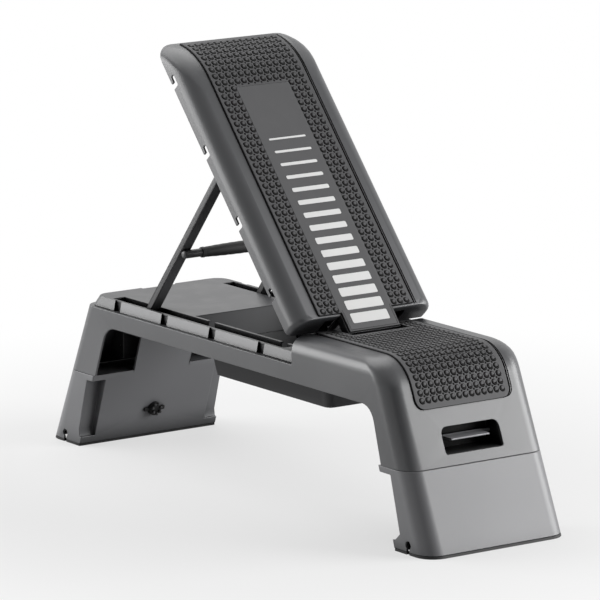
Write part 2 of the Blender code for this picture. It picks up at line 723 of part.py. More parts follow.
def build_backrest_mats(axis, mat_material, panel_material):
    """The mat wraps over the head end; the panel lies in an opening in it."""
    tongue_x = TONGUE_END_X - 0.002

    def line(offset):
        centre = (BACK_ROLL_X, BACK_TOP_Z - BACK_HEAD_R)
        turns = [180 - a for a in head_angles()[1:]]
        curve = [arc(centre, BACK_HEAD_R + offset, a, a, 1)[0] for a in turns]
        return curve + [(tongue_x, BACK_TOP_Z + offset)]

    outline = line(GAP) + list(reversed(line(GAP + MAT_THICKNESS)))
    strip = slab(outline, -BACK_MAT_HALF_WIDTH, BACK_MAT_HALF_WIDTH)
    mat = add_object("backrest_mat", from_hinge(strip), mat_material, axis, smooth=30)
    narrow = TONGUE_HALF_WIDTH - STRIP_INSET
    corner = (BACK_MAT_FOOT_X - MAT_CORNER_R, BACK_MAT_HALF_WIDTH - MAT_CORNER_R)
    far_y = BACK_MAT_HALF_WIDTH + 0.01
    beside = [(corner[0], far_y)] + arc(corner, MAT_CORNER_R, 84, 0, 5)
    beside += [(BACK_MAT_FOOT_X, narrow), (TONGUE_END_X + 0.01, narrow), (TONGUE_END_X + 0.01, far_y)]
    boolean(mat, flat_piece(beside, 0.01))
    boolean(mat, flat_piece([(x, -y) for x, y in beside], 0.01))
    boolean(mat, flat_piece(panel_outline(GAP), 0.01))
    add_object("backrest_panel", flat_piece(panel_outline(0)), panel_material, axis)


def build_backrest_arms(axis, material):
    """Steel arms from under the backrest to an eye on the hinge pin."""
    low = BACK_UNDER_Z - ARM_DEPTH
    eye = arc((HINGE_X, HINGE_Z), EYE_R, -140, 70, 10)
    outline = [(ARM_TAIL_X, BACK_UNDER_Z), (ARM_TAIL_X, low), (BACK_FOOT_X - 0.01, low)]
    outline += eye + [(TONGUE_END_X - 0.003, BACK_UNDER_Z)]
    half = ARM_THICKNESS / 2
    for name, ends in zip(("right", "left"), both_sides(ARM_Y - half, ARM_Y + half)):
        arm = add_object(f"backrest_arm_{name}", from_hinge(slab(outline, *ends)), material, axis)
        boolean(arm, rod(-0.1, 0.1, HINGE_PIN_R + PIN_CLEARANCE))


def rod_on_backrest():
    """Where the prop's top rod lies when it carries the backrest, in the flat frame."""
    a = math.radians(prop_angle())
    tip = PROP_PIVOT + PROP_LENGTH * Vector((math.cos(a), 0, math.sin(a)))
    return Matrix.Rotation(-math.radians(BACK_ANGLE), 3, "Y") @ (tip - HINGE) + HINGE


def catch_outline():
    """Catch rail: a stop behind the rod, a ramp over it, and a lower stop nearer the hinge."""
    rod_at = rod_on_backrest()
    reach = TOP_ROD_R + GAP
    ramp = math.radians(CATCH_RAMP)
    strip = BACK_UNDER_Z - CATCH_STRIP
    stop_x = rod_at.x - reach
    foot_z = rod_at.z - CATCH_DROP
    corner_z = rod_at.z + reach / math.cos(ramp) - math.tan(ramp) * reach
    ramp_end = stop_x + (strip - corner_z) / math.tan(ramp)
    rest = [(stop_x - CATCH_WALL, BACK_UNDER_Z), (stop_x - CATCH_WALL, foot_z), (stop_x, foot_z)]
    rest += [(stop_x, corner_z), (ramp_end, strip)]
    low = [(LOW_CATCH_X - CATCH_WALL, strip), (LOW_CATCH_X - CATCH_WALL, LOW_CATCH_Z), (LOW_CATCH_X, LOW_CATCH_Z)]
    low += [(LOW_CATCH_X, LOW_CATCH_Z + LOW_CATCH_RISE), (LOW_CATCH_X + CATCH_WALL, strip)]
    return rest + low + [(LOW_CATCH_X + CATCH_WALL, BACK_UNDER_Z)]


def build_catches(axis, material):
    half = CATCH_WIDTH / 2
    for name, ends in zip(("right", "left"), both_sides(CATCH_Y - half, CATCH_Y + half)):
        add_object(f"catch_rail_{name}", from_hinge(slab(catch_outline(), *ends)), material, axis)


def build_hinge(steel, plastic):
    """A U-shaped hinge block under the seat top, and the pin it holds."""
    rear_x = HOOD_REAR_X + WALL + GAP
    front_x = BLOCK_FRONT_X + BLOCK_WALL
    low_z = BLOCK_FLOOR_Z - BLOCK_WALL
    top_z = SEAT_TOP_Z - WALL - GAP
    outer = BLOCK_INNER_Y + BLOCK_WALL
    bracket = add_object("hinge_block", block((rear_x, -outer, low_z), (front_x, outer, top_z)), plastic)
    low = (rear_x - 0.01, -BLOCK_INNER_Y, BLOCK_FLOOR_Z)
    boolean(bracket, block(low, (BLOCK_FRONT_X, BLOCK_INNER_Y, SEAT_TOP_Z)))
    boolean(bracket, rod(-0.1, 0.1, HINGE_PIN_R + PIN_CLEARANCE, HINGE))
    pin = add_object("hinge_pin", rod(-HINGE_PIN_HALF, HINGE_PIN_HALF, HINGE_PIN_R), steel, smooth=40)
    pin.location = HINGE


# Prop frame, drawn folded into its grooves and turned up about its pivot

def build_struts(axis, steel):
    near = GROOVE_Y - STRUT_WIDTH / 2
    far = GROOVE_Y + STRUT_WIDTH / 2
    half = STRUT_DEPTH / 2
    end = PROP_LENGTH + STRUT_TOP_END
    outer = upright_box(-STRUT_END, end, -half, half)
    hollow = upright_box(-0.05, end + 0.05, STRUT_WALL - half, half - STRUT_WALL)
    sides = zip(("right", "left"), both_sides(near, far), both_sides(near + STRUT_WALL, far - STRUT_WALL))
    for name, ends, inside in sides:
        strut = add_object(f"prop_strut_{name}", slab(outer, *ends), steel, axis)
        boolean(strut, slab(hollow, *inside))
        boolean(strut, rod(min(ends) - 0.01, max(ends) + 0.01, FOOT_PIN_R + PIN_CLEARANCE))
    rod_at = Vector((PROP_LENGTH, 0, 0))
    add_object("prop_top_rod", rod(GAP - near, near - GAP, TOP_ROD_R, rod_at), steel, axis, smooth=40)


def build_handle(axis, steel, plastic, rubber):
    """A cross handle under the struts, with sleeves, end caps and a hand grip."""
    at = Vector((HANDLE_ALONG, 0, -HANDLE_DROP))
    bore = HANDLE_ROD_R + PIN_CLEARANCE
    half = HANDLE_HALF_LENGTH
    add_object("handle_rod", rod(-half, half, HANDLE_ROD_R, at), steel, axis, smooth=40)
    for name, sign in (("right", -1), ("left", 1)):
        start = half + GAP
        tube = rod(sign * (GRIP_HALF_LENGTH + GAP), sign * half, SLEEVE_R, at)
        sleeve = add_object(f"handle_sleeve_{name}", tube, plastic, axis, smooth=40)
        boolean(sleeve, rod(-0.2, 0.2, bore, at))
        rings = ((start, 1.0), (start + CAP_LENGTH * 0.6, 0.9), (start + CAP_LENGTH, 0.6))
        cap = turned([(sign * y, SLEEVE_R * share) for y, share in rings], 16)
        add_object(f"handle_cap_{name}", moved(cap, at), plastic, axis, smooth=50)
    rings = []
    for i in range(9):
        swell = (GRIP_MIDDLE_R - GRIP_END_R) * math.sin(math.pi * i / 8)
        rings.append((GRIP_HALF_LENGTH * (i / 4 - 1), GRIP_END_R + swell))
    grip = add_object("handle_grip", moved(turned(rings), at), rubber, axis, smooth=50)
    boolean(grip, rod(-0.2, 0.2, bore, at))


def build_foot_pins(steel):
    """Two pins that hold the prop's feet in the groove walls."""
    reach = GROOVE_WIDTH / 2 + INSERT_WALL - GAP
    for name, y in (("right", -GROOVE_Y), ("left", GROOVE_Y)):
        pin = add_object(f"prop_pivot_pin_{name}", rod(-reach, reach, FOOT_PIN_R), steel, smooth=40)
        pin.location = PROP_PIVOT + Vector((0, y, 0))


# Risers, drawn at the front end and mirrored for the rear

def riser_outer(end):
    loops = []
    for z in (RISER_LOW_Z, RISER_TOP_Z):
        loops.append(plan_loop(inner_x(end, z), leg_x(z), HALF_WIDTH, 0.003, CORNER_R, z))
    return loft(loops)


def pocket_x(end, z):
    """Where a riser's side face ends at its inner corner pocket."""
    share = (POCKET_TOP_Z - z) / (POCKET_TOP_Z - POCKET_LOW_Z)
    inset = POCKET_TOP_INSET + (POCKET_LOW_INSET - POCKET_TOP_INSET) * share
    return HALF_LENGTH - end.arch_back + inset


def riser_cavity(edge, half_width):
    """Part of the hollow inside a riser, open below."""
    loops = []
    for z in (-0.01, RISER_TOP_Z - RISER_TOP_PLATE):
        front = leg_x(z, WALL)
        loops.append(plan_loop(edge(z) + WALL, front, half_width, 0.002, CORNER_R - WALL, z))
    return loft(loops)


def pocket_outline(end):
    far_in = inner_x(end, RISER_HEIGHT) - 0.02
    return [
        (far_in, POCKET_TOP_Z),
        (pocket_x(end, POCKET_TOP_Z), POCKET_TOP_Z),
        (pocket_x(end, POCKET_LOW_Z), POCKET_LOW_Z),
        (inner_x(end, 0), POCKET_SILL_Z),
        (far_in, POCKET_SILL_Z),
    ]


def tab_outline(end):
    """The middle of the inner panel, which rises to the hinge barrel."""
    foot_z = RISER_TOP_Z - TAB_FOOT_DROP
    foot = Vector((inner_x(end, foot_z), foot_z))
    top = Vector((hinge_of(end).x - RISER_BARREL_R + 0.0005, end.hinge_z))
    run = (top - foot).normalized()
    across = Vector((run.y, -run.x)) * TAB_THICKNESS
    return [tuple(foot), tuple(foot + across), tuple(top + across), tuple(top)]


def band_mouth():
    half = BAND_HOLE_MOUTH / 2
    return upright_box(BAND_HOLE_X - half, BAND_HOLE_X + half, -0.01, BAND_HOLE_Z)


def build_riser(end, axis, plastic, steel):
    """One riser and its hinge pin."""
    def placed(shape):
        return moved(flipped(shape, end), -axis.location)

    hinge = hinge_of(end)
    riser = add_object(f"{end.name}_riser", placed(riser_outer(end)), plastic, axis, smooth=30)
    for ends in both_sides(PANEL_SIDE_Y, HALF_WIDTH + 0.01):
        boolean(riser, placed(slab(pocket_outline(end), *ends)))
    boolean(riser, placed(riser_cavity(lambda z: inner_x(end, z), PANEL_SIDE_Y - WALL)))
    boolean(riser, placed(riser_cavity(lambda z: pocket_x(end, z), HALF_WIDTH - WALL)))
    join(riser, placed(slab(tab_outline(end), -TAB_HALF_WIDTH, TAB_HALF_WIDTH)))
    join(riser, placed(rod(-TAB_HALF_WIDTH, TAB_HALF_WIDTH, RISER_BARREL_R, hinge)))
    boolean(riser, placed(rod(-0.1, 0.1, RISER_PIN_R + PIN_CLEARANCE, hinge)))
    hole_at = Vector((BAND_HOLE_X, 0, BAND_HOLE_Z))
    for ends in both_sides(HALF_WIDTH - WALL - 0.002, HALF_WIDTH + 0.01):
        boolean(riser, placed(rod(*ends, BAND_HOLE_R, hole_at, 16)))
        boolean(riser, placed(slab(band_mouth(), *ends)))
    pin_half = TAB_HALF_WIDTH + CARRIER_GAP + CARRIER_WALL
    pin = add_object(f"{end.name}_riser_pin", rod(-pin_half, pin_half, RISER_PIN_R), steel, smooth=40)
    pin.location = axis.location


def build_riser_foot(end, axis, rubber):
    """A rubber ring under the riser's edge, open at the band holes."""
    def placed(shape):
        return moved(flipped(shape, end), -axis.location)

    edge = inner_x(end, 0)
    loops = [plan_loop(edge, leg_x(z), HALF_WIDTH, 0.003, CORNER_R, z) for z in (0, FOOT_THICKNESS)]
    foot = add_object(f"{end.name}_riser_foot", placed(loft(loops)), rubber, axis, smooth=30)
    room = (edge + FOOT_WIDTH, leg_x(0) - FOOT_WIDTH, HALF_WIDTH - FOOT_WIDTH, 0.002, CORNER_R - FOOT_WIDTH)
    boolean(foot, placed(loft([plan_loop(*room, z) for z in (-0.01, 0.01)])))
    for ends in both_sides(HALF_WIDTH - WALL, HALF_WIDTH + 0.01):
        boolean(foot, placed(slab(band_mouth(), *ends)))


def build_carrier(end, steel):
    """A bracket inside the leg: a web against the end wall and two cheeks that hold the pin."""
    near = TAB_HALF_WIDTH + CARRIER_GAP
    far = near + CARRIER_WALL
    web_low, web_high = end.web_z - CARRIER_WALL / 2, end.web_z + CARRIER_WALL / 2
    depth = WALL + GAP
    wall_low, wall_high = (leg_x(web_low, depth), web_low), (leg_x(web_high, depth), web_high)
    web_x = HALF_LENGTH - end.web_back
    web = [(web_x, web_low), wall_low, wall_high, (web_x, web_high)]
    web_half = far - CARRIER_STEP
    bracket = add_object(f"{end.name}_hinge_bracket", flipped(slab(web, -web_half, web_half), end), steel)
    hinge = hinge_of(end)
    eye = arc((hinge.x, hinge.z), CARRIER_R, 90, 270, 8)
    low_z, high_z = hinge.z - CARRIER_R, web_high + CARRIER_STEP
    inner = depth + CARRIER_STEP
    cheek = eye + [(leg_x(low_z, inner), low_z), (leg_x(high_z, inner), high_z), (web_x, high_z)]
    for ends in both_sides(near, far):
        join(bracket, flipped(slab(cheek, *ends), end))
    boolean(bracket, flipped(rod(-0.12, 0.12, RISER_PIN_R + PIN_CLEARANCE, hinge), end))


def build_knob(axis, plastic):
    """A turning catch with two ears, in the middle of the rear riser's inner panel."""
    lean = math.atan(INNER_LEAN)
    face = Vector((-inner_x(REAR, KNOB_Z), 0, KNOB_Z)) - axis.location
    knob_axis = add_empty("knob_axis", face, math.degrees(lean), axis)

    def disc(low_x, high_x, low_r, high_r):
        ends = ((low_x, low_r), (high_x, high_r))
        return loft([[(x, y, z) for y, z in arc((0, 0), radius, 0, 345, 23)] for x, radius in ends])

    knob = add_object("riser_knob", disc(GAP, KNOB_LENGTH, KNOB_R, KNOB_R * 0.85), plastic, knob_axis, smooth=40)
    join(knob, disc(-WALL - 0.002, GAP + 0.001, KNOB_SPINDLE_R, KNOB_SPINDLE_R))
    join(knob, block((GAP, -KNOB_EAR, -0.004), (0.005, KNOB_EAR, 0.004)))
    hole = disc(-0.02, 0.02, KNOB_SPINDLE_R + PIN_CLEARANCE, KNOB_SPINDLE_R + PIN_CLEARANCE)
    turn = Matrix.Translation(face) @ Matrix.Rotation(lean, 4, "Y")
    bmesh.ops.transform(hole, matrix=turn, verts=hole.verts[:])
    boolean(bpy.data.objects["rear_riser"], hole)


# Grip recesses and levers

def build_grip_cup(end, plastic):
    low, high = GRIP_LOW_Z - CUP_WALL, GRIP_HIGH_Z + CUP_WALL
    back = GRIP_BACK_X - CUP_WALL
    depth = WALL + GAP
    half = GRIP_HALF_WIDTH + CUP_WALL
    outline = [(back, low), (leg_x(low, depth), low), (leg_x(high, depth), high), (back, high)]
    cup = add_object(f"{end.name}_grip_cup", flipped(slab(outline, -half, half), end), plastic)
    inner = block((GRIP_BACK_X, -GRIP_HALF_WIDTH, GRIP_LOW_Z), (HALF_LENGTH, GRIP_HALF_WIDTH, GRIP_HIGH_Z))
    boolean(cup, flipped(inner, end))
    pivot = Vector((LEVER_PIVOT_X, 0, LEVER_Z))
    boolean(cup, flipped(rod(-0.1, 0.1, LEVER_PIN_R + PIN_CLEARANCE, pivot, 12), end))


def build_lever(end, axis, plastic, steel):
    """A release lever: a flat plate with a blunt front lip, on a pin at its rear edge."""
    def placed(shape):
        return moved(flipped(shape, end), -axis.location)

    half_t = LEVER_THICKNESS / 2
    lip = 0.006
    outline = [
        (LEVER_PIVOT_X, LEVER_Z - half_t),
        (LEVER_FRONT_X - lip, LEVER_Z - half_t),
        (LEVER_FRONT_X, LEVER_Z - half_t * 0.4),
        (LEVER_FRONT_X, LEVER_Z + half_t * 0.6),
        (LEVER_FRONT_X - lip * 0.5, LEVER_Z + half_t),
        (LEVER_PIVOT_X, LEVER_Z + half_t),
    ]
    paddle = placed(slab(outline, -LEVER_HALF_WIDTH, LEVER_HALF_WIDTH))
    lever = add_object(f"{end.name}_release_lever", paddle, plastic, axis)
    pivot = Vector((LEVER_PIVOT_X, 0, LEVER_Z))
    barrel_half = GRIP_HALF_WIDTH - 0.0005
    join(lever, placed(rod(-barrel_half, barrel_half, LEVER_BARREL_R, pivot, 16)))
    boolean(lever, placed(rod(-0.1, 0.1, LEVER_PIN_R + PIN_CLEARANCE, pivot, 12)))
    pin_half = GRIP_HALF_WIDTH + CUP_WALL
    pin = add_object(f"{end.name}_lever_pin", rod(-pin_half, pin_half, LEVER_PIN_R, ZERO, 12), steel, smooth=40)
    pin.location = axis.location


def build_all():
    for obj in list(bpy.data.objects):
        bpy.data.objects.remove(obj)
    shell_black = make_material("shell_black", (0.042, 0.043, 0.046), 0.45)
    riser_grey = make_material("riser_grey", (0.105, 0.106, 0.111), 0.45)
    mat_black = make_material("mat_black", (0.046, 0.046, 0.049), 0.7)
    panel_black = make_material("panel_black", (0.06, 0.06, 0.063), 0.55)
    steel_black = make_material("steel_black", (0.02, 0.02, 0.022), 0.4, 0.6)
    steel_bare = make_material("steel_bare", (0.5, 0.5, 0.5), 0.35, 1.0)
    trim_black = make_material("trim_black", (0.015, 0.015, 0.016), 0.6)
    rubber = make_material("rubber", (0.012, 0.012, 0.012), 0.85)

    build_base_shell(shell_black)
    build_deck_insert(shell_black)
    build_tray(shell_black)
    build_tray_screws(steel_bare)
    build_seat_mat(mat_black)

    back_axis = add_empty("backrest_axis", HINGE, BACK_ANGLE)
    build_backrest_shell(back_axis, shell_black)
    build_backrest_mats(back_axis, mat_black, panel_black)
    build_backrest_arms(back_axis, steel_black)
    build_catches(back_axis, trim_black)
    build_hinge(steel_bare, trim_black)

    prop_axis = add_empty("prop_axis", PROP_PIVOT, -prop_angle())
    build_struts(prop_axis, steel_black)
    build_handle(prop_axis, steel_black, trim_black, rubber)
    build_foot_pins(steel_bare)

    for end in (FRONT, REAR):
        hinge = hinge_of(end)
        axis = add_empty(f"{end.name}_riser_axis", Vector((end.sign * hinge.x, 0, hinge.z)))
        build_riser(end, axis, riser_grey, steel_bare)
        build_riser_foot(end, axis, rubber)
        build_carrier(end, steel_black)
        if end is REAR:
            build_knob(axis, trim_black)
        build_grip_cup(end, trim_black)
        lever_axis = add_empty(f"{end.name}_lever_axis", Vector((end.sign * LEVER_PIVOT_X, 0, LEVER_Z)))
        build_lever(end, lever_axis, riser_grey, steel_bare)


if __name__ == "__main__":
    build_all()
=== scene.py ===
"""Exercise step bench with a folding backrest: the visual model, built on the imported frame."""
import json
import math

import bpy
from mathutils import Matrix, Vector


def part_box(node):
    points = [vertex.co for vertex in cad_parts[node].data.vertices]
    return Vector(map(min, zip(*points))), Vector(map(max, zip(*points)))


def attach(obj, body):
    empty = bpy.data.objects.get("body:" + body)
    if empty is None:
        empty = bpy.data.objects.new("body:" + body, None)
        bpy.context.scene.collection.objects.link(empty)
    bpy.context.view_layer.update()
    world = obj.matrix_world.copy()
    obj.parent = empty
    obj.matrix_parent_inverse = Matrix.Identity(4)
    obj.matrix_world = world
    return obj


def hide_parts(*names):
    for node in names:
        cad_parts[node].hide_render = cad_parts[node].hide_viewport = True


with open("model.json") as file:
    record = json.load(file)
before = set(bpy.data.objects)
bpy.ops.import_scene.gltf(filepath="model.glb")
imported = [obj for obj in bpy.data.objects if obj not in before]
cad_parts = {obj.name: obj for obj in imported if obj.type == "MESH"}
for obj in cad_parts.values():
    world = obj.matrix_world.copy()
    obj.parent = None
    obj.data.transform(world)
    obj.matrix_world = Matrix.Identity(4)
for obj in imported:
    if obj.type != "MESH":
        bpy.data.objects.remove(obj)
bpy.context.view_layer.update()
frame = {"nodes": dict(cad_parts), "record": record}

bl_info = {
    "name": "Step Bench Maker",
    "version": (1, 0, 0),
    "blender": (4, 5, 0),
    "location": "View3D > Sidebar > Step Bench",
    "description": "Builds an exercise step bench with fold-in legs and a propped backrest",
    "category": "Object",
}

# The backrest as it lies flat, before it is turned up about its hinge
HINGE = Vector((0.245, 0.0, 0.316))
BACK_ANGLE = math.radians(48.7)
BACK_TOP_Z = 0.3585
BACK_ROLL_X = -0.398
BACK_ROLL_R = 0.165
BACK_ROLL_TURN = math.radians(41.3)
TONGUE_X = 0.216
TONGUE_HALF = 0.0618
BACK_FOOT_X = 0.171
PANEL_HEAD_X = -0.367
PANEL_HALF = 0.065
BACK_MAT_HALF = 0.116
BACK_MAT_LENGTH = TONGUE_X - BACK_ROLL_X + BACK_ROLL_R * BACK_ROLL_TURN
BACK_FOOT_ALONG = TONGUE_X - BACK_FOOT_X
PANEL_HEAD_ALONG = TONGUE_X - PANEL_HEAD_X

# The seat, with a leaning front, a rolled edge and a flat top
LEG_LEAN = 0.438
LEG_TIP_X = 0.6655
SEAT_TOP_Z = 0.3625
SEAT_ROLL_R = 0.085
SEAT_MAT_LOW_Z = 0.268
SEAT_MAT_HALF = 0.114
SEAT_MAT_LENGTH = 0.3745
SEAT_MAT_CORNER = 0.019
SEAT_CORNER_GAP = 0.0005
SEAT_CORNER_LENGTH = 0.0045
SEAT_CORNER_RISE = 0.006
SEAT_CORNER_SEGMENTS = 7
SEAT_NOTCH_ALONG = SEAT_MAT_LENGTH - 0.0653
SEAT_NOTCH_HALF = 0.070
SEAT_PITCH_SHARE = 0.955
SEAT_ROW_SHARE = 0.94

# Rounding of edges, as lengths or as shares of the radius set in the panel, and how sharp an edge has to be
THIN_EDGE = 0.0005
FINE_EDGE = 0.0006
MAT_EDGE = 0.0007
SMALL_EDGE = 0.0008
DECK_EDGE_SHARE = 0.7
RAIL_EDGE_SHARE = 0.8
EDGE_SEGMENTS = 2
EDGE_ANGLE = 28
MAT_ANGLE = 40
TUBE_ANGLE = 50
TURNED_ANGLE = 35
MERGE_GAP = 0.00001
FLAT_ANGLE = math.radians(0.6)

# Tread, beads and printed bars, the far lines as (name, way out from the mat, radius), and the rounding
# of each bead's corners on the right side, in their order. The tread marks, the beads and the far lines
# are black as painted shade for the shadows in the tread, in the groove round each mat and beside it on its
# left
MAT_PROUD = 0.0035
TREAD_MARGIN = 0.010
CRESCENT_TUBE = 0.0028
CRESCENT_HEIGHT = 0.0007
CRESCENT_MARGIN = 0.0058
CRESCENT_THIN = 0.05
CRESCENT_SPAN = 1.8
CRESCENT_CURVE = 1.2
CRESCENT_TURN = math.pi / 4
DOT_RADIUS = 0.0025
DOT_HEIGHT = 0.0006
DOT_MARGIN = 0.004
BEAD_RADIUS = 0.0010
BEAD_HEIGHT = 0.0006
BEAD_OUT = 0.0008
SEAT_BEAD_RADII = (0.020, 0.002, 0.001, 0.001)
BACK_BEAD_RADII = (0.001, 0.001, 0.004, 0.002)
CORNER_STEPS = 5
OUTLINE_GAP = 0.012
FAR_SHADE_LINES = (("channel", 0.0040, 0.0014), ("outer_shade_line", 0.0085, 0.0008))
FAR_LINE_HEIGHT = 0.0002
FAR_LINE_WIDTH = 0.0004
FAR_LINE_CORNER = 0.022
SEAT_LINE_STEPS = 40
BACK_LINE_STEPS = 50
TURN_STEPS = 8
BARS_START = 0.013
BARS_END = 0.469
BARS_HALF = 0.045
BAR_SHARE = 0.74
BAR_TAPER = 0.6
BAR_HEIGHT = 0.0003
BAR_CORNER = 0.003
BAR_CORNER_SHARE = 0.45
BAR_CORNER_SEGMENTS = 4
PRINT_PROUD = 0.0001

# Strips at the backrest's foot on its left, as place and size before the backrest is turned up; the rib is
# black as painted shade, to keep the foot's windows dark
END_STRIPS = (
    ("back_shade_rib", (0.1695, 0.087, 0.3316), (0.0022, 0.050, 0.0445)),
    ("back_lip", (0.1725, 0.1131, 0.3062), (0.0090, 0.092, 0.0060)),
)

# Turned pieces of the prop, the collar at each end of its grip as (way in, radius), and the catch's lobes
RING_POINTS = 40
GRIP_HALF = 0.105
GRIP_RINGS = 20
GRIP_R = 0.0105
GRIP_SWELL = 0.0023
GRIP_RIPPLE = 0.0002
GRIP_RIPPLE_FROM = 0.3
GRIP_COLLAR = ((0.0, 0.0098), (0.0008, 0.0108), (0.006, 0.0112), (0.0068, 0.0104))
GRIP_COLLAR_END = 0.0075
ROD_R = 0.008
ROD_CHAMFER = 0.0008
LOBES = 7
LOBE_R = 0.0036
LOBE_HEIGHT = 0.0030
LOBE_CIRCLE_R = 0.0105
LOBE_DEPTH = 0.0012

# Camera, lamps as (name, place, aim, size, power), the black card and the room
CAMERA_LENS = 320.62
CAMERA_SENSOR = 36
CAMERA_REACH = 60
CAMERA_PLACE = (8.578, -6.181, 2.529)
CAMERA_TURN = (math.radians(90 - 11.48), 0, math.radians(54.21))
LAMPS = (
    ("top_softbox", (-1.3, 0.2, 3.0), (0, 0, 0.3), (3.0, 2.2), 62),
    ("side_softbox", (-2.9, -2.9, 1.3), (0, 0, 0.35), (3.4, 2.6), 185),
    ("front_softbox", (2.1, 2.5, 1.2), (0.3, 0, 0.3), (2.6, 1.9), 160),
)
FLAG_AIM = Vector((0.1, 0, 0.4))
FLAG_TOWARDS = Vector((0.93, -0.36, 0.2))
FLAG_DISTANCE = 4.5
FLAG_WIDTH = 3.4
FLAG_BLACK = (0.005, 0.005, 0.005, 1)
FLOOR_WIDTH = 30
FLOOR_GREY = (0.60, 0.60, 0.60, 1)
FLOOR_FADE = (0.6, 1.7)
FLOOR_GLOW = (0.6, 1.0)
ROOM_LIGHT = 0.09

# Colours of the finishes, and where their masks begin and end
WHITE = (1, 1, 1, 1)
DUST_GREY = (0.5, 0.49, 0.47, 1)
RUBBED_GREY = (0.3, 0.3, 0.31, 1)
GRAIN_DEPTH = 0.0002
DRIFT_MASK = (0.3, 0.7)
EDGE_MASK = (0.52, 0.6)
UPWARD_MASK = (0.6, 1.0)
DUST_MASK = (0.45, 0.7)
# Painted shade in hollows: the openness from which a finish keeps its full colour and gloss, and a stronger
# setting: the share of colour left and the openness where it is reached
OPEN_FROM = 0.85
PAINTED_HOLLOW_SHADE = {"floor": 0.03, "closed": 0.42}


# Selection and modelling helpers

def deselect():
    if bpy.context.object and bpy.context.object.mode != "OBJECT":
        bpy.ops.object.mode_set(mode="OBJECT")
    bpy.ops.object.select_all(action="DESELECT")


def pick(obj):
    deselect()
    obj.select_set(True)
    bpy.context.view_layer.objects.active = obj
    return obj


def edit(obj, what="VERT", everything=True):
    """Enters edit mode on a piece, with all of it or none of it selected."""
    pick(obj)
    bpy.ops.object.mode_set(mode="EDIT")
    bpy.ops.mesh.select_mode(type=what)
    bpy.ops.mesh.select_all(action="SELECT" if everything else "DESELECT")


def leave_edit():
    bpy.ops.object.mode_set(mode="OBJECT")


def new_object(name, data):
    obj = bpy.data.objects.new(name, data)
    bpy.context.scene.collection.objects.link(obj)
    return obj


def apply_modifier(obj, name, kind, **settings):
    """Adds a modifier with its settings and applies it."""
    modifier = obj.modifiers.new(name, kind)
    for key, value in settings.items():
        setattr(modifier, key, value)
    pick(obj)
    bpy.ops.object.modifier_apply(modifier=modifier.name)
    return obj


def face_outwards(obj):
    edit(obj)
    bpy.ops.mesh.normals_make_consistent(inside=False)
    leave_edit()


def join(parts):
    """Joins parts into the first of them."""
    deselect()
    for part in parts:
        part.select_set(True)
    bpy.context.view_layer.objects.active = parts[0]
    bpy.ops.object.join()
    return bpy.context.object


def bevel_chosen(obj, chosen, offset, segments):
    """Bevels the edges for which a test on their two ends holds."""
    edit(obj, "EDGE", False)
    leave_edit()
    for line in obj.data.edges:
        line.select = chosen(*(obj.data.vertices[k].co for k in line.vertices))
    pick(obj)
    bpy.ops.object.mode_set(mode="EDIT")
    bpy.ops.mesh.bevel(offset=offset, segments=segments, affect="EDGES")
    leave_edit()


def own_copy(node):
    """A merged copy of a CAD node, its flat areas made whole and cut into well-shaped triangles."""
    copy = new_object(node + "_copy", frame["nodes"][node].data.copy())
    edit(copy)
    bpy.ops.mesh.remove_doubles(threshold=MERGE_GAP)
    bpy.ops.mesh.customdata_custom_splitnormals_clear()
    bpy.ops.mesh.dissolve_limited(angle_limit=FLAT_ANGLE)
    bpy.ops.mesh.quads_convert_to_tris(quad_method="BEAUTY", ngon_method="BEAUTY")
    leave_edit()
    return copy


def soften(obj, width, angle=EDGE_ANGLE):
    """Rounds the sharp edges inside the piece's own box and evens the shading, as on a moulding."""
    low, high = (Vector(obj.bound_box[k]) for k in (0, 6))
    apply_modifier(obj, "edge", "BEVEL", width=width, segments=EDGE_SEGMENTS, limit_method="ANGLE",
                   angle_limit=math.radians(angle), use_clamp_overlap=False, miter_outer="MITER_ARC")
    for vertex in obj.data.vertices:
        vertex.co = [min(max(c, a), b) for c, a, b in zip(vertex.co, low, high)]
    obj.data.shade_smooth()
    apply_modifier(obj, "normals", "WEIGHTED_NORMAL", keep_sharp=True, weight=100)
    return obj


def finish_piece(obj, name, body, slot, *nodes, finish=None):
    """Names a finished piece, gives it its finish and hangs it on its body."""
    obj.name = name
    obj.data.name = name
    obj.data.materials.clear()
    obj.data.materials.append(FINISHES[finish or slot])
    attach(obj, body)
    if nodes:
        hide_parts(*nodes)
    return obj


def moulded(node, name, body, slot, width, angle=EDGE_ANGLE, finish=None):
    """A softened copy of a CAD node, which stands for that node."""
    return finish_piece(soften(own_copy(node), width, angle), name, body, slot, node, finish=finish)


def turned(node, name, body, slot, rings):
    """A round piece across the bench from (y, radius) rings, which stands for a CAD node."""
    low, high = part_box(node)
    deselect()
    bpy.ops.mesh.primitive_circle_add(vertices=RING_POINTS, radius=rings[0][1], fill_type="NGON",
                                      location=(0, rings[0][0], 0), rotation=(math.pi / 2, 0, 0))
    obj = bpy.context.object
    bpy.ops.object.transform_apply(location=True, rotation=True, scale=True)
    edit(obj)
    for (y, wide), (next_y, next_wide) in zip(rings, rings[1:]):
        bpy.ops.mesh.extrude_region_move(TRANSFORM_OT_translate={"value": (0, next_y - y, 0)})
        share = next_wide / wide
        bpy.ops.transform.resize(value=(share, 1, share), center_override=(0, next_y, 0))
    face_outwards(obj)
    obj.data.transform(Matrix.Translation(((low.x + high.x) / 2, 0, (low.z + high.z) / 2)))
    pick(obj)
    bpy.ops.object.shade_smooth_by_angle(angle=math.radians(TURNED_ANGLE))
    return finish_piece(obj, name, body, slot, node)


# Places on the seat and on the backrest

def raised(x, y, z):
    """A point of the flat backrest, turned up about its hinge to where it rests."""
    rx, rz = x - HINGE.x, z - HINGE.z
    cos, sin = math.cos(BACK_ANGLE), math.sin(BACK_ANGLE)
    return Vector((HINGE.x + rx * cos + rz * sin, y, HINGE.z - rx * sin + rz * cos))


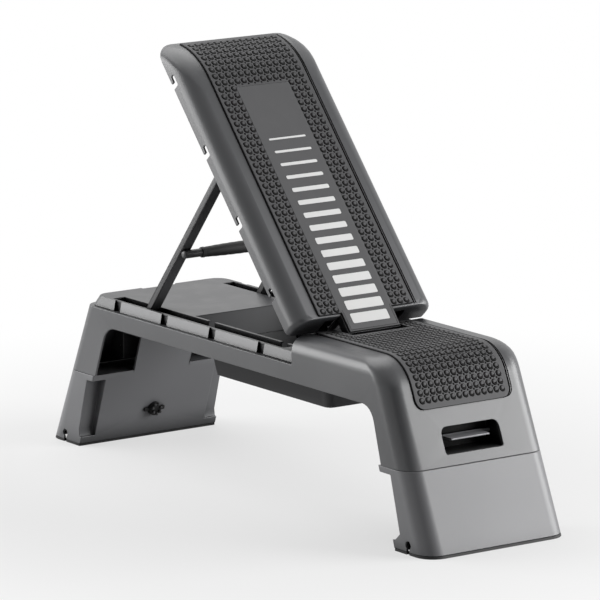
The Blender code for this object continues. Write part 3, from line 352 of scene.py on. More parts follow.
def back_point(along, y, height):
    """A point on the backrest mat, along counted from the foot towards the head."""
    flat = TONGUE_X - BACK_ROLL_X
    if along <= flat:
        return raised(TONGUE_X - along, y, BACK_TOP_Z + height)
    turn = math.pi / 2 - (along - flat) / BACK_ROLL_R
    reach = BACK_ROLL_R + height
    centre_z = BACK_TOP_Z - BACK_ROLL_R
    return raised(BACK_ROLL_X - reach * math.cos(turn), y, centre_z + reach * math.sin(turn))


def seat_point(along, y, height):
    """A point on the seat mat, along counted from its front lower edge up and back."""
    centre_z = SEAT_TOP_Z - SEAT_ROLL_R
    lean = math.atan(LEG_LEAN)
    slope = math.hypot(1, LEG_LEAN)
    centre_x = LEG_TIP_X - LEG_LEAN * centre_z - SEAT_ROLL_R * slope
    start_z = centre_z + SEAT_ROLL_R * math.sin(lean)
    straight = (start_z - SEAT_MAT_LOW_Z) * slope
    if along < straight:
        z = SEAT_MAT_LOW_Z + along / slope
        x = LEG_TIP_X - LEG_LEAN * z
        return Vector((x + height * math.cos(lean), y, z + height * math.sin(lean)))
    turn = lean + (along - straight) / SEAT_ROLL_R
    if turn < math.pi / 2:
        reach = SEAT_ROLL_R + height
        return Vector((centre_x + reach * math.cos(turn), y, centre_z + reach * math.sin(turn)))
    rest = along - straight - (math.pi / 2 - lean) * SEAT_ROLL_R
    return Vector((centre_x - rest, y, SEAT_TOP_Z + height))


# Shader nodes and node groups

def add_node(tree, kind, links=(), **settings):
    """Adds a node, sets its properties and inputs, and links (source, socket) pairs to its inputs."""
    node = tree.nodes.new("ShaderNode" + kind)
    for key, value in settings.items():
        if key.startswith("in_"):
            place = key[3:]
            place = int(place) if place.isdigit() else place.replace("_", " ")
            node.inputs[place].default_value = value
        else:
            setattr(node, key, value)
    for source, target in links:
        tree.links.new(source, node.inputs[target])
    return node


def calc(tree, operation, first, second):
    """What a Math node makes of a socket and another socket or a number."""
    if isinstance(second, float):
        return add_node(tree, "Math", [(first, 0)], operation=operation, in_1=second).outputs[0]
    return add_node(tree, "Math", [(first, 0), (second, 1)], operation=operation).outputs[0]


def ramp(tree, value, low, high):
    """A mask that goes from 0 at the low value to 1 at the high one."""
    return add_node(tree, "MapRange", [(value, "Value")], in_1=low, in_2=high).outputs[0]


def blend_colours(tree, share, first, second):
    return add_node(tree, "MixRGB", [(share, 0), (first, 1), (second, 2)]).outputs[0]


def new_group(name, inputs, outputs):
    """A node group: its tree, the sockets that come in and the sockets that go out."""
    group = bpy.data.node_groups.new(name, "ShaderNodeTree")
    for label, default in inputs:
        kind = "NodeSocketFloat" if isinstance(default, float) else "NodeSocketColor"
        socket = group.interface.new_socket(label, in_out="INPUT", socket_type=kind)
        socket.default_value = default
    for label in outputs:
        kind = "NodeSocketColor" if label == "Colour" else "NodeSocketFloat"
        group.interface.new_socket(label, in_out="OUTPUT", socket_type=kind)
    return group, group.nodes.new("NodeGroupInput").outputs, group.nodes.new("NodeGroupOutput").inputs


def place_group(tree, group, **values):
    """Places a node group in a material with its own values."""
    node = tree.nodes.new("ShaderNodeGroup")
    node.node_tree = group
    for label, value in values.items():
        node.inputs[label.replace("_", " ")].default_value = value
    return node


def make_grain_group():
    """Fine moulded grain with slow, faint changes of colour and gloss."""
    group, given, result = new_group(
        "moulded_grain",
        (("Colour", (0.1, 0.1, 0.1, 1)), ("Light Colour", (0.2, 0.2, 0.2, 1)), ("Grain Scale", 900.0),
         ("Roughness", 0.5), ("Roughness Spread", 0.08)),
        ("Colour", "Roughness", "Height"))
    place = add_node(group, "TexCoord").outputs["Object"]
    slow = add_node(group, "TexNoise", [(place, "Vector")], in_Scale=5.0, in_Detail=3.0).outputs["Fac"]
    scaled = [(place, "Vector"), (given["Grain Scale"], "Scale")]
    fine = add_node(group, "TexNoise", scaled, in_Detail=2.0).outputs["Fac"]
    cells = add_node(group, "TexVoronoi", scaled).outputs["Distance"]
    share = ramp(group, slow, *DRIFT_MASK)
    colour = blend_colours(group, share, given["Colour"], given["Light Colour"])
    offset = calc(group, "SUBTRACT", slow, 0.5)
    spread = calc(group, "MULTIPLY", offset, given["Roughness Spread"])
    rough = calc(group, "ADD", spread, given["Roughness"])
    bumps = calc(group, "ADD", fine, cells)
    group.links.new(colour, result["Colour"])
    group.links.new(rough, result["Roughness"])
    group.links.new(bumps, result["Height"])
    return group


def make_wear_group():
    """Lighter, rubbed outer edges and a trace of dust on faces that look up."""
    group, given, result = new_group(
        "edges_and_dust",
        (("Colour", (0.1, 0.1, 0.1, 1)), ("Edge Colour", (0.3, 0.3, 0.3, 1)), ("Edge", 0.5), ("Dust", 0.06)),
        ("Colour",))
    geometry = add_node(group, "NewGeometry")
    place = add_node(group, "TexCoord").outputs["Object"]
    sharp = ramp(group, geometry.outputs["Pointiness"], *EDGE_MASK)
    rubbed = calc(group, "MULTIPLY", sharp, given["Edge"])
    edge = blend_colours(group, rubbed, given["Colour"], given["Edge Colour"])
    axis = add_node(group, "SeparateXYZ", [(geometry.outputs["Normal"], 0)])
    upward = ramp(group, axis.outputs["Z"], *UPWARD_MASK)
    clouds = add_node(group, "TexNoise", [(place, "Vector")], in_Scale=26.0, in_Detail=5.0)
    patch = ramp(group, clouds.outputs["Fac"], *DUST_MASK)
    both = calc(group, "MULTIPLY", upward, patch)
    dust = calc(group, "MULTIPLY", both, given["Dust"])
    dusty = add_node(group, "MixRGB", [(dust, 0), (edge, 1)], in_2=DUST_GREY)
    group.links.new(dusty.outputs[0], result["Colour"])
    return group


def make_hollow_shade_group():
    """Painted shade: darkens the colour and lowers the gloss in deep places, by how closed in they are, where
    little light arrives.
    """
    group, given, result = new_group(
        "painted_hollow_shade",
        (("Colour", (0.1, 0.1, 0.1, 1)), ("Reach", 0.07), ("Floor", 0.08), ("Closed", 0.15), ("Shine", 0.5)),
        ("Colour", "Gloss"))
    openness = add_node(group, "AmbientOcclusion", [(given["Reach"], "Distance")], samples=6)
    span = [(openness.outputs["AO"], "Value"), (given["Floor"], "To Min"), (given["Closed"], "From Min")]
    clear = add_node(group, "MapRange", span, interpolation_type="SMOOTHSTEP", in_2=OPEN_FROM).outputs[0]
    darker = add_node(group, "VectorMath", [(given["Colour"], 0), (clear, "Scale")], operation="SCALE")
    gloss = calc(group, "MULTIPLY", clear, given["Shine"])
    group.links.new(darker.outputs[0], result["Colour"])
    group.links.new(gloss, result["Gloss"])
    return group


def make_finish(name, groups, colour, light, roughness, spread=0.1, grain=900.0, bump=0.15, edge=0.35,
                dust=0.05, metallic=0.0, shine=0.5, floor=0.08, closed=0.15):
    """A material from the shared groups, with painted shade in its hollows set by floor and closed."""
    material = bpy.data.materials.new(name)
    material.use_nodes = True
    material.diffuse_color = (*colour, 1)
    tree = material.node_tree
    shader = tree.nodes["Principled BSDF"]
    base = place_group(tree, groups["grain"], Colour=(*colour, 1), Light_Colour=(*light, 1),
                       Grain_Scale=grain, Roughness=roughness, Roughness_Spread=spread)
    wear = place_group(tree, groups["wear"], Edge_Colour=RUBBED_GREY, Edge=edge, Dust=dust)
    deep = place_group(tree, groups["cavity"], Shine=shine, Floor=floor, Closed=closed)
    relief = add_node(tree, "Bump", [(base.outputs["Height"], "Height")], in_Strength=bump,
                      in_Distance=GRAIN_DEPTH)
    # The hollow shade group paints shade into the colour and the gloss in hollows
    for source, target in ((base.outputs["Colour"], wear.inputs["Colour"]),
                           (wear.outputs["Colour"], deep.inputs["Colour"]),
                           (deep.outputs["Colour"], shader.inputs["Base Color"]),
                           (deep.outputs["Gloss"], shader.inputs["Specular IOR Level"]),
                           (base.outputs["Roughness"], shader.inputs["Roughness"]),
                           (relief.outputs["Normal"], shader.inputs["Normal"])):
        tree.links.new(source, target)
    shader.inputs["Metallic"].default_value = metallic
    return material


FINISHES = {}


def shade(colour, share):
    """A colour times a number, no channel past 1."""
    return tuple(min(1.0, c * share) for c in colour)


def make_finishes(colours):
    """Every finish: its colour, the lighter colour it drifts to, its roughness and what sets it apart."""
    groups = {"grain": make_grain_group(), "wear": make_wear_group(), "cavity": make_hollow_shade_group()}
    shell, leg, mat, panel = (tuple(c) for c in (colours.shell, colours.leg, colours.mat, colours.panel))
    # floor and closed set each finish's painted shade in hollows: stronger on the deck and the tray, weaker
    # on the levers
    table = (
        ("shell_plastic", shell, shade(shell, 1.12), 0.36, {}),
        ("deck_plastic", shade(shell, 0.72), shade(shell, 0.82), 0.4, PAINTED_HOLLOW_SHADE),
        ("tray_plastic", (0.010, 0.010, 0.011), (0.014, 0.014, 0.015), 0.5,
         dict(shine=0.2, **PAINTED_HOLLOW_SHADE)),
        ("riser_plastic", leg, shade(leg, 1.1), 0.4, {}),
        ("lever_plastic", shade(leg, 2.6), shade(leg, 2.8), 0.35, dict(floor=0.6)),
        ("trim_plastic", (0.018, 0.018, 0.019), (0.024, 0.024, 0.025), 0.35, dict(edge=0.2, shine=0.4)),
        ("knob_plastic", (0.008, 0.008, 0.008), (0.012, 0.012, 0.012), 0.5, dict(edge=0.1, shine=0.15)),
        ("mat_rubber", mat, shade(mat, 1.15), 0.68, dict(grain=1400.0, bump=0.35, edge=0.15)),
        # Black for the tread marks, beads and far lines: painted shade for the shadows there
        ("tread_and_shade_black", (0.002, 0.002, 0.002), (0.003, 0.003, 0.003), 0.7,
         dict(grain=1400.0, edge=0.0, dust=0.0, shine=0.12)),
        ("panel_rubber", panel, shade(panel, 1.06), 0.55, dict(grain=1800.0, bump=0.1, edge=0.1)),
        ("grip_rubber", (0.012, 0.012, 0.012), (0.018, 0.018, 0.018), 0.6,
         dict(grain=1100.0, bump=0.4, edge=0.1, shine=0.3)),
        ("black_steel", (0.016, 0.016, 0.017), (0.022, 0.022, 0.023), 0.33,
         dict(grain=1600.0, bump=0.25, edge=0.3, shine=0.4)),
        ("bare_steel", (0.5, 0.5, 0.5), (0.58, 0.58, 0.57), 0.3,
         dict(spread=0.2, grain=600.0, edge=0.1, metallic=1.0)),
        ("white_print", (0.64, 0.64, 0.635), (0.67, 0.67, 0.665), 0.6,
         dict(grain=1500.0, bump=0.05, edge=0.0, dust=0.03)),
    )
    for name, colour, light, roughness, settings in table:
        FINISHES[name] = make_finish(name, groups, colour, light, roughness, **settings)


# User settings

class STEPBENCH_colours(bpy.types.PropertyGroup):
    shell: bpy.props.FloatVectorProperty(
        name="Shell", description="Moulded body and backrest", subtype="COLOR", size=3, min=0, max=1,
        default=(0.042, 0.043, 0.046))
    leg: bpy.props.FloatVectorProperty(
        name="Legs", description="Fold-in legs", subtype="COLOR", size=3, min=0, max=1,
        default=(0.097, 0.098, 0.103))
    mat: bpy.props.FloatVectorProperty(
        name="Mats", description="Textured mats", subtype="COLOR", size=3, min=0, max=1,
        default=(0.034, 0.034, 0.036))
    panel: bpy.props.FloatVectorProperty(
        name="Panel", description="Smooth middle panel", subtype="COLOR", size=3, min=0, max=1,
        default=(0.037, 0.037, 0.039))


class STEPBENCH_sizes(bpy.types.PropertyGroup):
    edge: bpy.props.FloatProperty(
        name="Edge radius", description="Rounding of moulded edges", unit="LENGTH", default=0.0014)
    tread_pitch: bpy.props.FloatProperty(
        name="Tread pitch", description="Distance between tread marks across the mat", unit="LENGTH",
        default=0.0158)
    tread_row: bpy.props.FloatProperty(
        name="Tread row", description="Distance between tread rows along the mat", unit="LENGTH",
        default=0.0165)
    tread_radius: bpy.props.FloatProperty(
        name="Tread radius", description="Radius of one crescent of the tread", unit="LENGTH",
        default=0.0050)
    bars: bpy.props.IntProperty(
        name="Bars", description="White bars printed across the panel", default=15, min=5, max=30)


# Tread, beads and outlines; the tread and the beads are black as painted shade

def make_crescent(radius):
    """One crescent of the tread: a ring whose wall swells on one side and thins out on the other. Made in
    black, it is painted shade for the shadowed side of a raised tread bump, so it swells on the side where
    that shadow falls.
    """
    deselect()
    bpy.ops.mesh.primitive_torus_add(major_segments=12, minor_segments=4, major_radius=radius,
                                     minor_radius=CRESCENT_TUBE)
    ring = bpy.context.object
    for vertex in ring.data.vertices:
        point = vertex.co
        turn = math.atan2(point.y, point.x)
        centre = Vector((math.cos(turn), math.sin(turn), 0)) * radius
        shadow_side = 0.5 - 0.5 * math.cos(turn - CRESCENT_TURN)
        swell = min(1.0, shadow_side * CRESCENT_SPAN) ** CRESCENT_CURVE
        share = CRESCENT_THIN + (1 - CRESCENT_THIN) * swell
        away = point - centre
        vertex.co = centre + Vector((away.x, away.y, away.z * CRESCENT_HEIGHT / CRESCENT_TUBE)) * share
    return ring


def make_dot(radius, height):
    """A small round button, flattened to its height."""
    deselect()
    bpy.ops.mesh.primitive_uv_sphere_add(segments=8, ring_count=4, radius=radius)
    dot = bpy.context.object
    dot.data.transform(Matrix.Diagonal((1, 1, height / radius, 1)))
    return dot


def scatter(name, master_places, surface):
    """One mesh with a copy of each master at its places, laid on a surface by a function."""
    verts, faces = [], []
    for master, places in master_places:
        shape = [v.co.copy() for v in master.data.vertices]
        polygons = [tuple(p.vertices) for p in master.data.polygons]
        for along, y in places:
            base = len(verts)
            verts += [surface(along + p.x, y + p.y, MAT_PROUD + p.z) for p in shape]
            faces += [tuple(base + i for i in polygon) for polygon in polygons]
        bpy.data.objects.remove(master)
    mesh = bpy.data.meshes.new(name)
    mesh.from_pydata(verts, [], faces)
    obj = new_object(name, mesh)
    face_outwards(obj)
    mesh.shade_smooth()
    return obj


def tread_places(length, half, pitch, row, allowed):
    """Crescents on a plain grid and dots in the middle of every four of them; the black dots are painted
    shade for small pits.
    """
    columns = int((2 * half - TREAD_MARGIN) / pitch)
    rows = int((length - TREAD_MARGIN) / row)
    first_y = -columns * pitch / 2 + pitch / 2
    first_along = (length - rows * row) / 2 + row / 2
    crescents, dots = [], []
    for i in range(rows):
        for j in range(columns):
            along, y = first_along + i * row, first_y + j * pitch
            if allowed(along, y, CRESCENT_MARGIN):
                crescents.append((along, y))
            inside = i + 1 < rows and j + 1 < columns
            if inside and allowed(along + row / 2, y + pitch / 2, DOT_MARGIN):
                dots.append((along + row / 2, y + pitch / 2))
    return crescents, dots


def add_tread(name, body, radius, places, surface):
    """The raised marks of one mat, black as painted shade for the shadows of the tread."""
    crescents, dots = places
    masters = ((make_crescent(radius), crescents), (make_dot(DOT_RADIUS, DOT_HEIGHT), dots))
    finish_piece(scatter(name, masters, surface), name, body, "mat_rubber", finish="tread_and_shade_black")


def add_shade_cord(name, body, points, radius):
    """A closed thin black cord beside a mat, painted shade for a shadowed groove."""
    curve = bpy.data.curves.new(name, "CURVE")
    curve.dimensions = "3D"
    curve.bevel_depth = radius
    curve.bevel_resolution = 1
    spline = curve.splines.new("POLY")
    spline.points.add(len(points) - 1)
    for target, point in zip(spline.points, points):
        target.co = (*point, 1)
    spline.use_cyclic_u = True
    pick(new_object(name, curve))
    bpy.ops.object.convert(target="MESH")
    obj = bpy.context.object
    obj.data.shade_smooth()
    finish_piece(obj, name, body, "mat_rubber", finish="tread_and_shade_black")


def add_edge_shade_cord(name, body, right, radii, surface):
    """A black bead round a mat, painted shade for the groove at its edge, from the corners on its right side
    and a rounding for each.
    """
    left = [(along, -y) for along, y in right[::-1]]
    outline = rounded(right + left, radii + radii[::-1])
    points = [surface(p.x, p.y, BEAD_HEIGHT) for p in outline]
    add_shade_cord(name, body, points, BEAD_RADIUS)


def add_far_shade_lines(name, body, places_at, surface):
    """Thin black lines beside a mat on its left only, painted shade for the shadowed grooves on that side, at
    the places that a function gives for their offset.
    """
    for line, offset, radius in FAR_SHADE_LINES:
        places = places_at(offset)
        points = [surface(along, y, FAR_LINE_HEIGHT) for along, y in places]
        points += [surface(along, y + FAR_LINE_WIDTH, FAR_LINE_HEIGHT) for along, y in places[::-1]]
        add_shade_cord(f"{name}_{line}", body, points, radius)


def rounded(corners, radii):
    """A closed outline in (along, y) with rounded corners and points no further apart than the gap."""
    outline = []
    count = len(corners)
    for i, (corner, reach) in enumerate(zip(corners, radii)):
        here = Vector(corner)
        before = (Vector(corners[i - 1]) - here).normalized()
        after = (Vector(corners[(i + 1) % count]) - here).normalized()
        start, end = here + before * reach, here + after * reach
        for k in range(CORNER_STEPS + 1):
            t = k / CORNER_STEPS
            outline.append(start * (1 - t) ** 2 + here * 2 * t * (1 - t) + end * t ** 2)
    full = []
    for a, b in zip(outline, outline[1:] + outline[:1]):
        pieces = max(1, math.ceil((b - a).length / OUTLINE_GAP))
        full += [a + (b - a) * k / pieces for k in range(pieces)]
    return full


# Operators

class STEPBENCH_OT_finishes(bpy.types.Operator):
    """All finishes, in the colours set in the panel"""
    bl_idname = "stepbench.finishes"
    bl_label = "Finishes"

    def execute(self, context):
        make_finishes(context.scene.stepbench_colours)
        return {"FINISHED"}


class STEPBENCH_OT_stage(bpy.types.Operator):
    """Camera, lamps, floor and background"""
    bl_idname = "stepbench.stage"
    bl_label = "Stage"

    def execute(self, context):
        scene = context.scene
        scene.view_settings.view_transform = "Standard"
        camera = new_object("camera", bpy.data.cameras.new("camera"))
        camera.data.sensor_width = CAMERA_SENSOR
        camera.data.lens = CAMERA_LENS
        camera.data.clip_end = CAMERA_REACH
        camera.location = CAMERA_PLACE
        camera.rotation_euler = CAMERA_TURN
        scene.camera = camera
        self.add_floor()
        self.add_world(scene)
        for name, place, target, size, power in LAMPS:
            self.add_softbox(name, Vector(place), Vector(target), size, power)
        self.add_flag()
        return {"FINISHED"}

    def add_softbox(self, name, place, target, size, power):
        lamp = bpy.data.lights.new(name, "AREA")
        lamp.shape = "RECTANGLE"
        lamp.size, lamp.size_y = size
        lamp.energy = power
        obj = new_object(name, lamp)
        obj.location = place
        obj.rotation_euler = (target - place).to_track_quat("-Z", "Y").to_euler()

    def add_flag(self):
        """A black card that keeps the white room out of the reflections on one side."""
        deselect()
        bpy.ops.mesh.primitive_plane_add(size=1)
        card = bpy.context.object
        card.name = "black_flag"
        towards = FLAG_TOWARDS.normalized()
        place = FLAG_AIM + towards * FLAG_DISTANCE
        turn = (-towards).to_track_quat("Z", "Y").to_matrix().to_4x4()
        size = Matrix.Diagonal((FLAG_WIDTH, FLAG_WIDTH, 1, 1))
        card.data.transform(Matrix.Translation(place) @ turn @ size)
        card.visible_camera = False
        card.visible_shadow = False
        material = bpy.data.materials.new("flag_black")
        material.use_nodes = True
        shader = material.node_tree.nodes["Principled BSDF"]
        shader.inputs["Base Color"].default_value = FLAG_BLACK
        shader.inputs["Specular IOR Level"].default_value = 0
        shader.inputs["Roughness"].default_value = 1
        card.data.materials.append(material)

    def seen_rays(self, tree):
        """1 for camera, glossy and transmission rays, 0 for the rest."""
        path = add_node(tree, "LightPath").outputs
        first = calc(tree, "MAXIMUM", path["Is Camera Ray"], path["Is Glossy Ray"])
        return calc(tree, "MAXIMUM", first, path["Is Transmission Ray"])

    def add_floor(self):
        deselect()
        bpy.ops.mesh.primitive_plane_add(size=FLOOR_WIDTH, location=(0, 0, 0))
        floor = bpy.context.object
        floor.name = "floor"
        material = bpy.data.materials.new("floor_white")
        material.use_nodes = True
        tree = material.node_tree
        tree.nodes.clear()
        matt = add_node(tree, "BsdfDiffuse", in_Color=FLOOR_GREY)
        glow = add_node(tree, "Emission", in_Color=WHITE, in_Strength=1.0)
        place = add_node(tree, "TexCoord").outputs["Object"]
        away = add_node(tree, "VectorMath", [(place, 0)], operation="LENGTH")
        fade = add_node(tree, "MapRange", [(away.outputs["Value"], "Value")], interpolation_type="SMOOTHSTEP",
                        in_1=FLOOR_FADE[0], in_2=FLOOR_FADE[1], in_3=FLOOR_GLOW[0], in_4=FLOOR_GLOW[1])
        share = calc(tree, "MULTIPLY", self.seen_rays(tree), fade.outputs[0])
        mix = add_node(tree, "MixShader", [(share, 0), (matt.outputs[0], 1), (glow.outputs[0], 2)])
        output = add_node(tree, "OutputMaterial", [(mix.outputs[0], "Surface")])
        output.is_active_output = True
        floor.data.materials.append(material)

    def add_world(self, scene):
        world = bpy.data.worlds.new("studio")
        scene.world = world
        world.use_nodes = True
        tree = world.node_tree
        tree.nodes.clear()
        soft = add_node(tree, "Background", in_Color=WHITE, in_Strength=ROOM_LIGHT)
        white = add_node(tree, "Background", in_Color=WHITE, in_Strength=1.0)
        sources = [(self.seen_rays(tree), 0), (soft.outputs[0], 1), (white.outputs[0], 2)]
        mix = add_node(tree, "MixShader", sources)
        add_node(tree, "OutputWorld", [(mix.outputs[0], "Surface")])


class STEPBENCH_OT_body(bpy.types.Operator):
    """Lower body, deck insert and storage tray"""
    bl_idname = "stepbench.body"
    bl_label = "Body"

    def execute(self, context):
        edge = context.scene.stepbench_sizes.edge
        moulded("base_shell", "lower_body", "base", "shell_plastic", edge)
        moulded("deck_insert", "deck_top", "base", "shell_plastic", edge * DECK_EDGE_SHARE,
                finish="deck_plastic")
        moulded("storage_tray", "tray_body", "base", "shell_plastic", edge, finish="tray_plastic")
        return {"FINISHED"}


class STEPBENCH_OT_seat(bpy.types.Operator):
    """Seat mat with its tread, edge bead and side lines, all but the mat black as painted shade"""
    bl_idname = "stepbench.seat"
    bl_label = "Seat"

    def execute(self, context):
        sizes = context.scene.stepbench_sizes
        mat = own_copy("seat_mat")
        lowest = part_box("seat_mat")[0].z

        def front_corner(a, b):
            outer = all(abs(abs(p.y) - SEAT_MAT_HALF) < SEAT_CORNER_GAP for p in (a, b))
            short = (a - b).length < SEAT_CORNER_LENGTH
            return outer and short and max(a.z, b.z) < lowest + SEAT_CORNER_RISE

        bevel_chosen(mat, front_corner, SEAT_MAT_CORNER, SEAT_CORNER_SEGMENTS)
        soften(mat, MAT_EDGE, MAT_ANGLE)
        finish_piece(mat, "seat_mat_sheet", "base", "mat_rubber", "seat_mat")

        def allowed(along, y, margin):
            if along > SEAT_NOTCH_ALONG - margin and abs(y) < SEAT_NOTCH_HALF + margin:
                return False
            return margin < along < SEAT_MAT_LENGTH - margin and abs(y) < SEAT_MAT_HALF - margin

        pitch, row = sizes.tread_pitch * SEAT_PITCH_SHARE, sizes.tread_row * SEAT_ROW_SHARE
        places = tread_places(SEAT_MAT_LENGTH, SEAT_MAT_HALF, pitch, row, allowed)
        add_tread("seat_tread", "base", sizes.tread_radius, places, seat_point)
        self.add_edge()
        add_far_shade_lines("seat_mat", "base", self.far_line, seat_point)
        return {"FINISHED"}

    def add_edge(self):
        """The black bead round the seat mat and its notch, painted shade for the groove at its edge."""
        half, notch = SEAT_MAT_HALF + BEAD_OUT, SEAT_NOTCH_HALF - BEAD_OUT / 2
        right = [(-BEAD_OUT, -half), (SEAT_MAT_LENGTH, -half), (SEAT_MAT_LENGTH, -notch),
                 (SEAT_NOTCH_ALONG, -notch)]
        add_edge_shade_cord("seat_mat_edge_shade", "base", right, SEAT_BEAD_RADII, seat_point)

    def far_line(self, offset):
        """Places along the mat's left side, round its front corner and into its lower edge."""
        y, corner = SEAT_MAT_HALF + offset, FAR_LINE_CORNER
        steps = range(SEAT_LINE_STEPS + 1)
        places = [(corner + (SEAT_MAT_LENGTH - corner) * (1 - k / SEAT_LINE_STEPS), y) for k in steps]
        for k in range(1, TURN_STEPS + 1):
            t = k / TURN_STEPS
            along = corner * (1 - t) ** 2 - BEAD_OUT * (1 - (1 - t) ** 2)
            places.append((along, y - corner * t ** 2))
        return places


class STEPBENCH_OT_backrest(bpy.types.Operator):
    """Backrest shell with strips at its foot, its arms, catch rails and hinge block"""
    bl_idname = "stepbench.backrest"
    bl_label = "Backrest"

    def execute(self, context):
        edge = context.scene.stepbench_sizes.edge
        moulded("backrest_shell", "back_body", "backrest", "shell_plastic", edge)
        for side in ("left", "right"):
            moulded(f"backrest_arm_{side}", f"back_arm_{side}", "backrest", "black_steel", edge)
            moulded(f"catch_rail_{side}", f"back_catch_{side}", "backrest", "trim_plastic",
                    edge * RAIL_EDGE_SHARE)
        moulded("hinge_block", "hinge_housing", "base", "trim_plastic", edge)
        self.add_end_strips()
        return {"FINISHED"}

    def add_end_strips(self):
        """Thin black ribs in the hollow foot behind the windows of its end wall, painted shade that keeps the
        windows dark, and a soft lip under it.
        """
        for side, sign in (("left", 1), ("right", -1)):
            for name, (x, y, z), size in END_STRIPS:
                self.add_strip(f"{name}_{side}", (x, sign * y, z), size)

    def add_strip(self, name, place, size):
        """A bar given in the flat backrest's place, turned up with it."""
        deselect()
        bpy.ops.mesh.primitive_cube_add(size=1, location=place)
        bar = bpy.context.object
        bar.scale = size
        bpy.ops.object.transform_apply(location=True, rotation=True, scale=True)
        soften(bar, FINE_EDGE)
        for vertex in bar.data.vertices:
            vertex.co = raised(*vertex.co)
        finish_piece(bar, name, "backrest", "shell_plastic", finish="grip_rubber")


class STEPBENCH_OT_back_mat(bpy.types.Operator):
    """Backrest mat with its tread, the smooth panel and the printed bars"""
    bl_idname = "stepbench.back_mat"
    bl_label = "Back mat"

    def execute(self, context):
        sizes = context.scene.stepbench_sizes
        moulded("backrest_mat", "back_mat_sheet", "backrest", "mat_rubber", MAT_EDGE, MAT_ANGLE)

        def allowed(along, y, margin):
            if not BACK_FOOT_ALONG + margin < along < BACK_MAT_LENGTH - margin:
                return False
            if abs(y) > BACK_MAT_HALF - margin:
                return False
            return along > PANEL_HEAD_ALONG + margin or abs(y) > PANEL_HALF + margin

        places = tread_places(BACK_MAT_LENGTH, BACK_MAT_HALF, sizes.tread_pitch, sizes.tread_row, allowed)
        add_tread("back_tread", "backrest", sizes.tread_radius, places, back_point)
        self.add_edge()
        add_far_shade_lines("back_mat", "backrest", self.far_line, back_point)
        moulded("backrest_panel", "back_panel", "backrest", "panel_rubber", FINE_EDGE, MAT_ANGLE)
        self.add_bars(sizes.bars)
        return {"FINISHED"}

    def add_edge(self):
        """The black bead round the backrest mat and its tongue, painted shade for the groove at its edge."""
        half = BACK_MAT_HALF + BEAD_OUT
        right = [(0.0, -TONGUE_HALF), (BACK_FOOT_ALONG, -TONGUE_HALF), (BACK_FOOT_ALONG, -half),
                 (BACK_MAT_LENGTH, -half)]
        add_edge_shade_cord("back_mat_edge_shade", "backrest", right, BACK_BEAD_RADII, back_point)

    def far_line(self, offset):
        """Places along the mat's left side, from its foot to its head."""
        span = BACK_MAT_LENGTH - BACK_FOOT_ALONG
        steps = range(BACK_LINE_STEPS + 1)
        return [(BACK_FOOT_ALONG + span * k / BACK_LINE_STEPS, BACK_MAT_HALF + offset) for k in steps]

    def add_bars(self, count):
        """Bars across the panel that grow thinner towards the head."""
        def upright(a, b):
            return abs(a.z - b.z) > BAR_HEIGHT / 2

        pitch = (BARS_END - BARS_START) / count
        deselect()
        bars = []
        for i in range(count):
            thick = pitch * (BAR_SHARE - BAR_TAPER * i / (count - 1))
            middle = BARS_START + pitch * (i + 0.5)
            bpy.ops.mesh.primitive_cube_add(size=1, location=(0, 0, 0))
            bar = bpy.context.object
            bar.data.transform(Matrix.Diagonal((thick, 2 * BARS_HALF, BAR_HEIGHT, 1)))
            corner = min(BAR_CORNER, thick * BAR_CORNER_SHARE)
            bevel_chosen(bar, upright, corner, BAR_CORNER_SEGMENTS)
            for vertex in bar.data.vertices:
                p = vertex.co
                vertex.co = back_point(middle + p.x, p.y, MAT_PROUD + PRINT_PROUD + p.z)
            bars.append(bar)
        joined = join(bars)
        face_outwards(joined)
        finish_piece(joined, "back_print", "backrest", "panel_rubber", finish="white_print")


class STEPBENCH_OT_prop(bpy.types.Operator):
    """Folding prop frame with its cross handle"""
    bl_idname = "stepbench.prop"
    bl_label = "Prop"

    def execute(self, context):
        edge = context.scene.stepbench_sizes.edge
        for side in ("left", "right"):
            moulded(f"prop_strut_{side}", f"prop_leg_{side}", "prop", "black_steel", edge)
            moulded(f"handle_sleeve_{side}", f"handle_tube_{side}", "prop", "trim_plastic", FINE_EDGE,
                    TUBE_ANGLE)
            moulded(f"handle_cap_{side}", f"handle_end_{side}", "prop", "trim_plastic", THIN_EDGE, TUBE_ANGLE)
        self.add_grip()
        self.add_rod()
        return {"FINISHED"}

    def add_grip(self):
        """A soft grip that swells in the middle, with fine ripples and a collar at each end."""
        collar = [(way_in - GRIP_HALF, radius) for way_in, radius in GRIP_COLLAR]
        rings = list(collar)
        for i in range(1, GRIP_RINGS):
            y = (GRIP_COLLAR_END - GRIP_HALF) + 2 * (GRIP_HALF - GRIP_COLLAR_END) * i / GRIP_RINGS
            swell = math.sin(math.pi * i / GRIP_RINGS)
            ripple = GRIP_RIPPLE if i % 2 else -GRIP_RIPPLE
            rings.append((y, GRIP_R + GRIP_SWELL * swell + ripple * (swell > GRIP_RIPPLE_FROM)))
        rings += [(-y, radius) for y, radius in reversed(collar)]
        turned("handle_grip", "handle_grip_sleeve", "prop", "grip_rubber", rings)

    def add_rod(self):
        """The rod that lies in the catch, its two ends rounded off."""
        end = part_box("prop_top_rod")[1].y
        tip = ROD_R - ROD_CHAMFER
        rings = [(-end, tip), (-end + ROD_CHAMFER, ROD_R), (end - ROD_CHAMFER, ROD_R), (end, tip)]
        turned("prop_top_rod", "prop_cross_rod", "prop", "black_steel", rings)


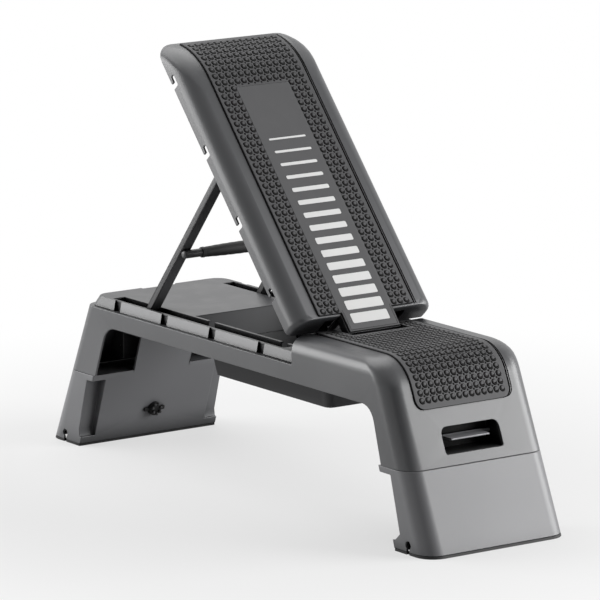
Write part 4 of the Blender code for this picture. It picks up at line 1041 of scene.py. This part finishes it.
class STEPBENCH_OT_legs(bpy.types.Operator):
    """Fold-in legs with rubber feet, their brackets and the turning catch"""
    bl_idname = "stepbench.legs"
    bl_label = "Legs"

    def execute(self, context):
        edge = context.scene.stepbench_sizes.edge
        for end in ("front", "rear"):
            body = f"{end}_leg"
            moulded(f"{end}_riser", f"{end}_leg_body", body, "riser_plastic", edge)
            moulded(f"{end}_riser_foot", f"{end}_foot_strip", body, "grip_rubber", FINE_EDGE)
            moulded(f"{end}_hinge_bracket", f"{end}_leg_bracket", "base", "black_steel", THIN_EDGE)
        self.add_catch()
        return {"FINISHED"}

    def add_catch(self):
        """The turning catch with a ring of finger lobes on its face."""
        low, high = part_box("riser_knob")
        middle = (low + high) / 2
        face = Matrix.Translation((high.x - LOBE_DEPTH, middle.y, middle.z))
        face = face @ Matrix.Rotation(math.pi / 2, 4, "Y")
        parts = [soften(own_copy("riser_knob"), SMALL_EDGE)]
        for k in range(LOBES):
            lobe = make_dot(LOBE_R, LOBE_HEIGHT)
            turn = 2 * math.pi * k / LOBES
            side = Vector((LOBE_CIRCLE_R * math.cos(turn), LOBE_CIRCLE_R * math.sin(turn), 0))
            lobe.data.transform(face @ Matrix.Translation(side))
            lobe.data.shade_smooth()
            parts.append(lobe)
        finish_piece(join(parts), "leg_catch", "knob", "trim_plastic", "riser_knob", finish="knob_plastic")


class STEPBENCH_OT_grips(bpy.types.Operator):
    """Grip recesses and release levers"""
    bl_idname = "stepbench.grips"
    bl_label = "Grips"

    def execute(self, context):
        edge = context.scene.stepbench_sizes.edge
        for end in ("front", "rear"):
            moulded(f"{end}_grip_cup", f"{end}_recess", "base", "trim_plastic", edge)
            moulded(f"{end}_release_lever", f"{end}_lever_plate", f"{end}_lever", "riser_plastic", SMALL_EDGE,
                    finish="lever_plastic")
        return {"FINISHED"}


class STEPBENCH_OT_cad_finishes(bpy.types.Operator):
    """Finishes for the pins and screws that stay as they come"""
    bl_idname = "stepbench.cad_finishes"
    bl_label = "Pins and screws"

    def execute(self, context):
        slots = {row["node"]: row["material_slot"] for row in frame["record"]["subparts"]}
        for name, node in frame["nodes"].items():
            if node.hide_render:
                continue
            node.data.materials.clear()
            node.data.materials.append(FINISHES[slots[name]])
        return {"FINISHED"}


class STEPBENCH_PT_panel(bpy.types.Panel):
    """Sizes, colours and the steps of the build"""
    bl_label = "Step Bench"
    bl_space_type = "VIEW_3D"
    bl_region_type = "UI"
    bl_category = "Step Bench"

    def draw(self, context):
        layout = self.layout
        for settings in (context.scene.stepbench_colours, context.scene.stepbench_sizes):
            for label in settings.__annotations__:
                layout.prop(settings, label)
        for step in STEPS:
            layout.operator(step.bl_idname)


STEPS = (
    STEPBENCH_OT_finishes, STEPBENCH_OT_stage, STEPBENCH_OT_body, STEPBENCH_OT_seat,
    STEPBENCH_OT_backrest, STEPBENCH_OT_back_mat, STEPBENCH_OT_prop, STEPBENCH_OT_legs,
    STEPBENCH_OT_grips, STEPBENCH_OT_cad_finishes,
)
CLASSES = (STEPBENCH_colours, STEPBENCH_sizes) + STEPS + (STEPBENCH_PT_panel,)


def register():
    for item in CLASSES:
        bpy.utils.register_class(item)
    bpy.types.Scene.stepbench_colours = bpy.props.PointerProperty(type=STEPBENCH_colours)
    bpy.types.Scene.stepbench_sizes = bpy.props.PointerProperty(type=STEPBENCH_sizes)


def unregister():
    del bpy.types.Scene.stepbench_colours
    del bpy.types.Scene.stepbench_sizes
    for item in reversed(CLASSES):
        bpy.utils.unregister_class(item)


def main():
    register()
    for step in STEPS:
        group, name = step.bl_idname.split(".")
        getattr(getattr(bpy.ops, group), name)()


if __name__ == "__main__":
    main()
